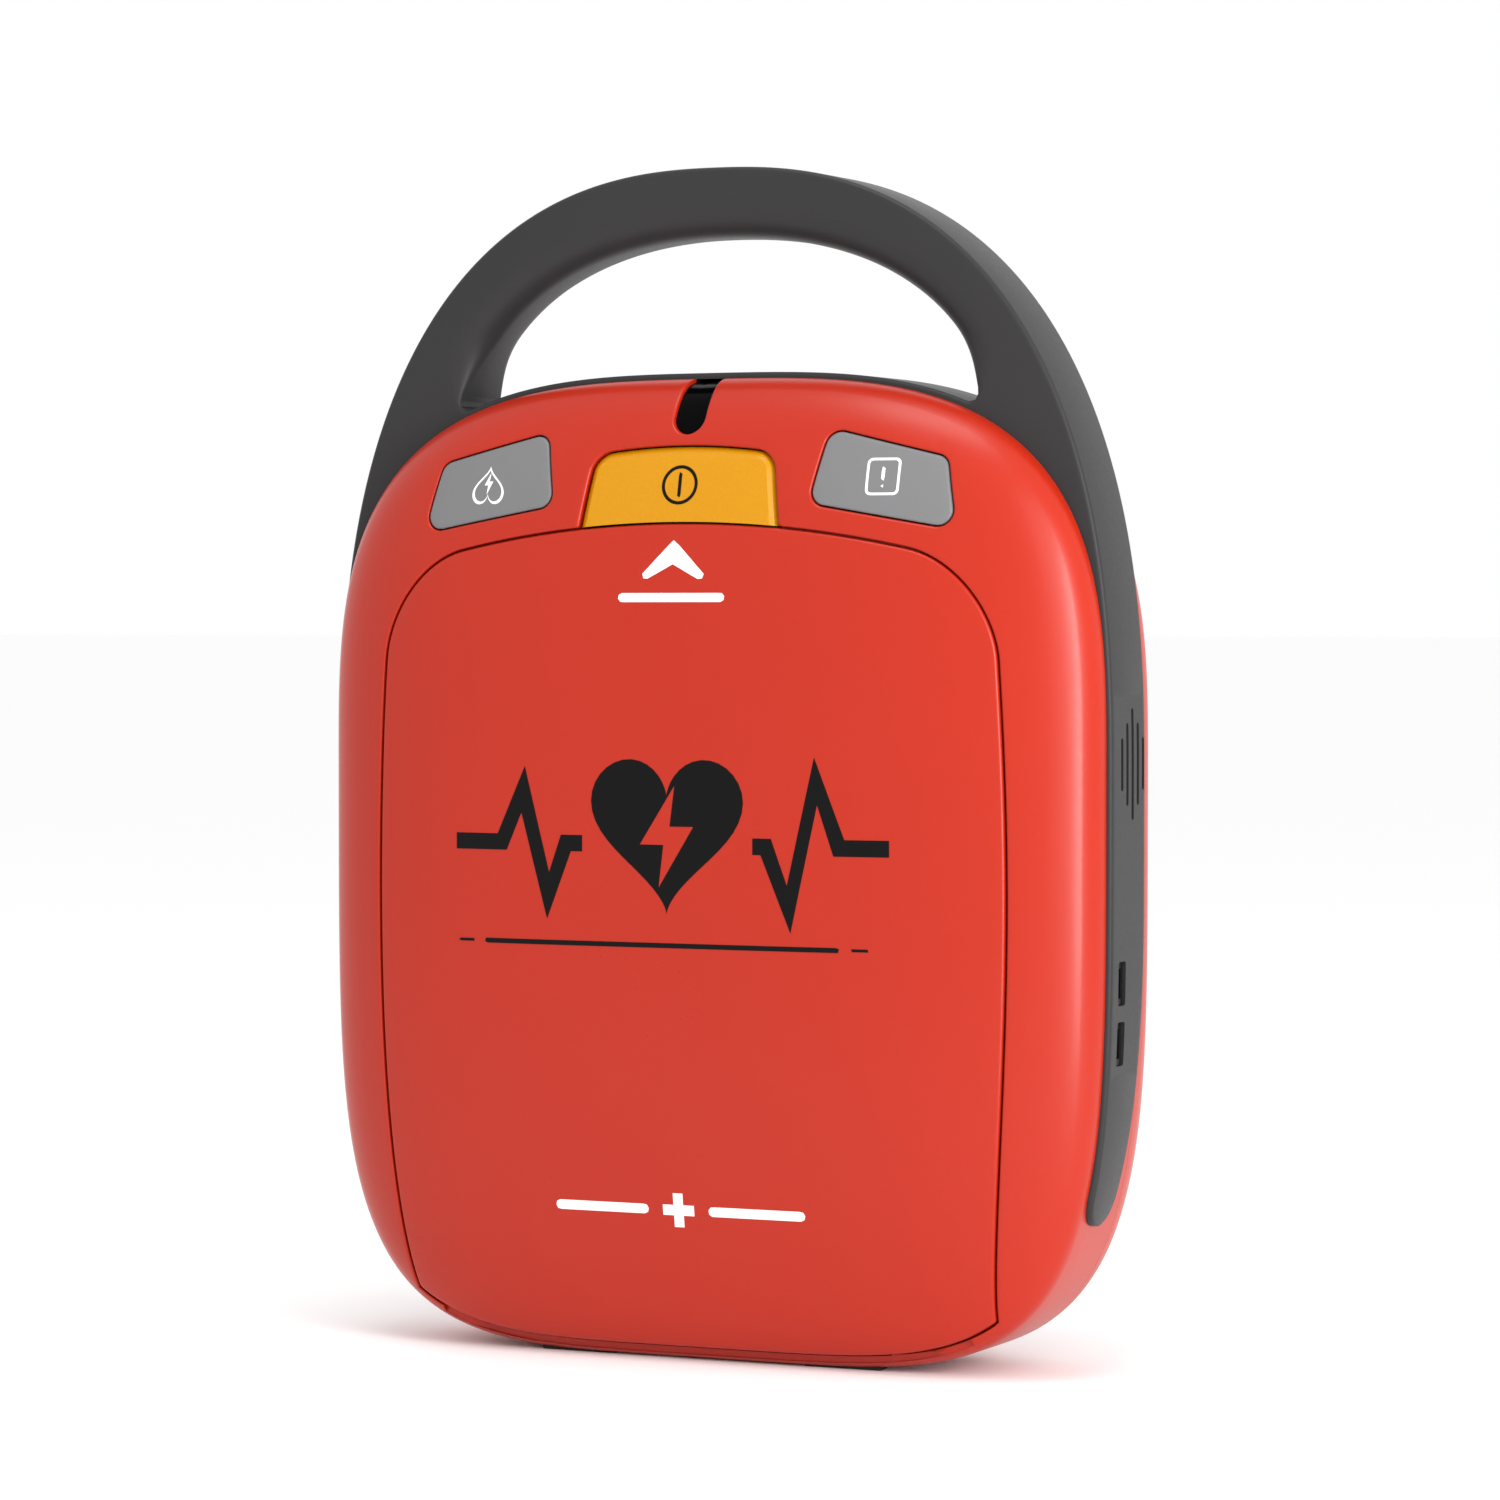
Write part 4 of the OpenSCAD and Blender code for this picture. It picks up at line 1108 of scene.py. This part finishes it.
def polygon_ink(loops, base, step=1.1):
    """Prints drawn from closed outlines; a point is inked when it lies in an odd number of them."""
    outlines = [[tuple(q) for q in p] for p in loops]

    def f(x, z):
        odd = np.zeros(np.shape(x), bool)
        for p in outlines:
            odd ^= poly(x, z, p) < 0
        return np.where(odd, -1.0, 1.0)

    co = np.vstack(loops)
    p0, p1 = co.min(0), co.max(0)
    gx, gz = lattice(p0[0], p1[0], step * 1.6, p0[1], p1[1], step * 1.6)
    pts = np.c_[gx, gz][f(gx, gz) < 0]
    v, tri = triangles([dense(p, step) for p in loops], [], pts, 0.4 * step)
    return slab(v, tri, within(f), lambda x, z, k: base(x, z) - INK, lambda x, z, k: base(x, z) + 0.02)


def heart(cx, cz, w, h):
    """A generic heart, point down, w wide and h tall."""
    t = np.linspace(0, 2 * math.pi, 64, endpoint=False)
    x = 16 * np.sin(t) ** 3
    z = 13 * np.cos(t) - 5 * np.cos(2 * t) - 2 * np.cos(3 * t) - np.cos(4 * t)
    return np.c_[cx + x / 32 * w, cz + (z - (z.max() + z.min()) / 2) / np.ptp(z) * h]


def bar(x0, z0, x1, z1, r=0.0):
    r = r or min(x1 - x0, z1 - z0) * 0.2
    return rect(x0, z0, x1, z1, r, 1.0)


def bolt(cx, cz, w, h):
    shape = np.array([(0.15, 0.5), (-0.5, -0.08), (-0.06, -0.08), (-0.15, -0.5), (0.5, 0.1), (0.06, 0.1)])
    return shape * [w, h] + [cx, cz]


def trace(points, width):
    """A stroke of constant width along an open line, as a closed outline with mitred corners."""
    p = np.array(points, float)
    d = np.diff(p, axis=0)
    n = np.c_[-d[:, 1], d[:, 0]] / np.hypot(*d.T)[:, None]
    m = np.vstack([n[:1], n[:-1] + n[1:], n[-1:]])
    m /= np.hypot(*m.T)[:, None]
    k = width / 2 / np.maximum((m * np.vstack([n[:1], n])).sum(1), 0.35)
    return np.vstack([p + m * k[:, None], (p - m * k[:, None])[::-1]])


def marks(name, groups, base, body, mat, step=1.1):
    co, faces = join([polygon_ink(g, base, step) for g in groups])
    piece(name, co, faces, mat, body, [], angle=20)


ARROW = [(-0.5, 202.0), (-1.9, 200.7), (-8.6, 193.9), (-8.3, 192.8), (-7.2, 192.7), (-0.5, 196.2),
         (6.3, 192.6), (7.5, 192.7), (7.9, 193.8), (1.1, 200.7)]
PLUS = [(-1.3, -4.2), (1.3, -4.2), (1.3, -1.3), (4.2, -1.3), (4.2, 1.3), (1.3, 1.3), (1.3, 4.2),
        (-1.3, 4.2), (-1.3, 1.3), (-4.2, 1.3), (-4.2, -1.3), (-1.3, -1.3)]
PLUS_AT = [-0.5, 38.6]
HEART_AT = (-1.5, 130.0)
PULSE = 4.0
left = trace([(-60.3, 128), (-47, 128), (-41, 141), (-34, 115), (-29, 128), (-24.5, 128)], PULSE)
right = trace([(21.5, 128), (25, 128), (31, 113), (38, 144), (44, 128), (56.7, 128)], PULSE)
marks("lid_arrow", [[np.array(ARROW)]], lid_top, "lid", INK_WHITE, 0.8)
marks("lid_bar", [[bar(-15.0, 187.0, 13.6, 189.2, 1.0)]], lid_top, "lid", INK_WHITE, 0.9)
marks("lid_plus", [[np.array(PLUS) + PLUS_AT], [bar(-34.0, 37.4, -8.6, 39.8, 1.1)],
                   [bar(7.6, 37.4, 33.4, 39.8, 1.1)]], lid_top, "lid", INK_WHITE, 0.9)
marks("lid_heart", [[heart(*HEART_AT, 41.0, 37.5), bolt(*HEART_AT, 14.5, 25.0)], [left], [right]],
      lid_top, "lid", INK_BLACK, 1.3)
marks("lid_rule", [[bar(-59.7, 103.2, -55.0, 103.9)], [bar(-52.0, 102.9, 44.0, 104.1)],
                   [bar(47.0, 103.2, 51.6, 103.9)]], lid_top, "lid", INK_BLACK, 1.0)


def on_power(x, z):
    return dome(x, z, CAP_SINK)


def on_window(x, z):
    return dome(x, z, CAP_SINK) + fall(-window(np.abs(x), z), BEVEL_WINDOW)


marks("power_icon", [[circle(0, 215.5, 4.8, 48), circle(0, 215.5, 4.0, 48)],
                     [bar(-0.42, 212.4, 0.42, 218.6)]],
      on_power, "power_button", INK_BLACK, 0.6)
ICON = np.array([-53.4, 216.0])
marks("shock_icon", [[ICON - heart(0, 0, 9.2, 9.4), ICON - heart(0, 0.05, 7.9, 8.0)],
                     [bolt(-53.4, 216.4, 2.4, 5.4)]],
      on_window, "shock_button", INK_WHITE, 0.6)
marks("info_icon", [[rect(48.8, 212.5, 57.2, 221.5, 1.3, 0.6), rect(49.4, 213.1, 56.6, 220.9, 0.8, 0.6)],
                    [bar(52.6, 216.0, 53.4, 219.4)], [bar(52.6, 214.3, 53.4, 215.1)]],
      on_window, "info_button", INK_WHITE, 0.6)

# ---- pads pouch
POUCH = grown((-pouch_hi[0], pouch_lo[2], pouch_hi[0], pouch_hi[2]), -0.15)
POUCH_R = 6
P_FRONT, P_BACK = pouch_lo[1], pouch_hi[1]
P_MID = (P_FRONT + P_BACK) / 2
CRIMP, CRIMP_PITCH, FILL_RUN = 7.0, 3.0, 16.0


def pouch(x, z):
    return box(x, z, *POUCH, POUCH_R)


def plump(x, z):
    """How far the bag stands from its middle plane: thin crimped border, filled middle, soft wrinkles."""
    d = -pouch(x, z) - CRIMP
    t = np.clip(d / FILL_RUN, 0, 1)
    fill = 0.35 + (P_BACK - P_FRONT - 1.3) / 2 * np.sqrt(t * (2 - t))
    ridge = 0.3 * np.sin(x * 0.23 + 1.7 * np.sin(z * 0.071)) * np.sin(z * 0.11 + 1.3 * np.sin(x * 0.05 + 1))
    ridge += 0.16 * np.sin((x + z) * 0.31 + 2 * np.sin(z * 0.04))
    crimp = 0.12 * np.sin(2 * math.pi * z / CRIMP_PITCH) * (d < 0)
    return fill + ridge * t ** 0.5 + crimp


loops = [rect(*grown(POUCH, -k), POUCH_R - k, 2.0)
         for k in (0, 1.5, 3.0, 4.5, CRIMP - 1, CRIMP, CRIMP + 1)]
gx, gz = lattice(-pouch_hi[0], pouch_hi[0], 2.6, pouch_lo[2], pouch_hi[2], 2.2)
v, tri = triangles(loops, [], np.c_[gx, gz][pouch(gx, gz) < -1.0], 0.8)
co, faces = slab(v, tri, within(pouch), lambda x, z, k: P_MID - plump(x, z),
                 lambda x, z, k: P_MID + plump(x, z) * 0.98)
bag = piece("pads_pouch_bag", co, faces, FOIL, "case", ["pads_pouch"], angle=60)

# ---- stage, light and camera
AIM = Vector((4.95, MID, 150.36)) * MM
EYE = Vector((549.9, -1171.6, 183.8)) * MM
FLOOR_HALF, FLOOR_WHITE = 40.0, 0.97
cam_data = bpy.data.cameras.new("camera")
cam_data.lens = 124.7
cam_data.sensor_width = 36
cam_data.clip_start = 0.05
cam = bpy.data.objects.new("camera", cam_data)
bpy.context.scene.collection.objects.link(cam)
cam.location = EYE
cam.rotation_mode = "QUATERNION"
cam.rotation_quaternion = (AIM - EYE).to_track_quat("-Z", "Y")
bpy.context.scene.camera = cam

floor_mat = bpy.data.materials.new("floor")
floor_mat.use_nodes = True
shade = floor_mat.node_tree.nodes["Principled BSDF"]
shade.inputs["Base Color"].default_value = (FLOOR_WHITE, FLOOR_WHITE, FLOOR_WHITE, 1)
shade.inputs["Roughness"].default_value = 0.9
floor_mesh = bpy.data.meshes.new("floor")
corners = [(sx * FLOOR_HALF, sy * FLOOR_HALF, 0) for sx, sy in ((-1, -1), (1, -1), (1, 1), (-1, 1))]
floor_mesh.from_pydata(corners, [], [(0, 1, 2, 3)])
floor_mesh.materials.append(floor_mat)
floor = bpy.data.objects.new("floor", floor_mesh)
bpy.context.scene.collection.objects.link(floor)

world = bpy.data.worlds.new("studio")
bpy.context.scene.world = world
world.use_nodes = True
world.node_tree.nodes["Background"].inputs["Color"].default_value = (1, 1, 1, 1)
world.node_tree.nodes["Background"].inputs["Strength"].default_value = 1.0
bpy.context.scene.view_settings.view_transform = "Standard"


def softbox(name, azimuth, elevation, distance, width, height, watts, aim=(0, 0, 0.15)):
    a, e = math.radians(azimuth), math.radians(elevation)
    towards = Vector((math.sin(a) * math.cos(e), -math.cos(a) * math.cos(e), math.sin(e)))
    at = Vector(aim) + distance * towards
    data = bpy.data.lights.new(name, "AREA")
    data.shape = "RECTANGLE"
    data.size, data.size_y, data.energy = width, height, watts
    ob = bpy.data.objects.new(name, data)
    ob.location = at
    ob.rotation_mode = "QUATERNION"
    ob.rotation_quaternion = (Vector(aim) - at).to_track_quat("-Z", "Y")
    bpy.context.scene.collection.objects.link(ob)


softbox("side", 55, 18, 0.95, 0.45, 0.8, 2.4)
softbox("edge", 66, 6, 1.15, 0.07, 0.8, 9.0)
softbox("top", 15, 74, 1.0, 0.5, 0.4, 3.0)
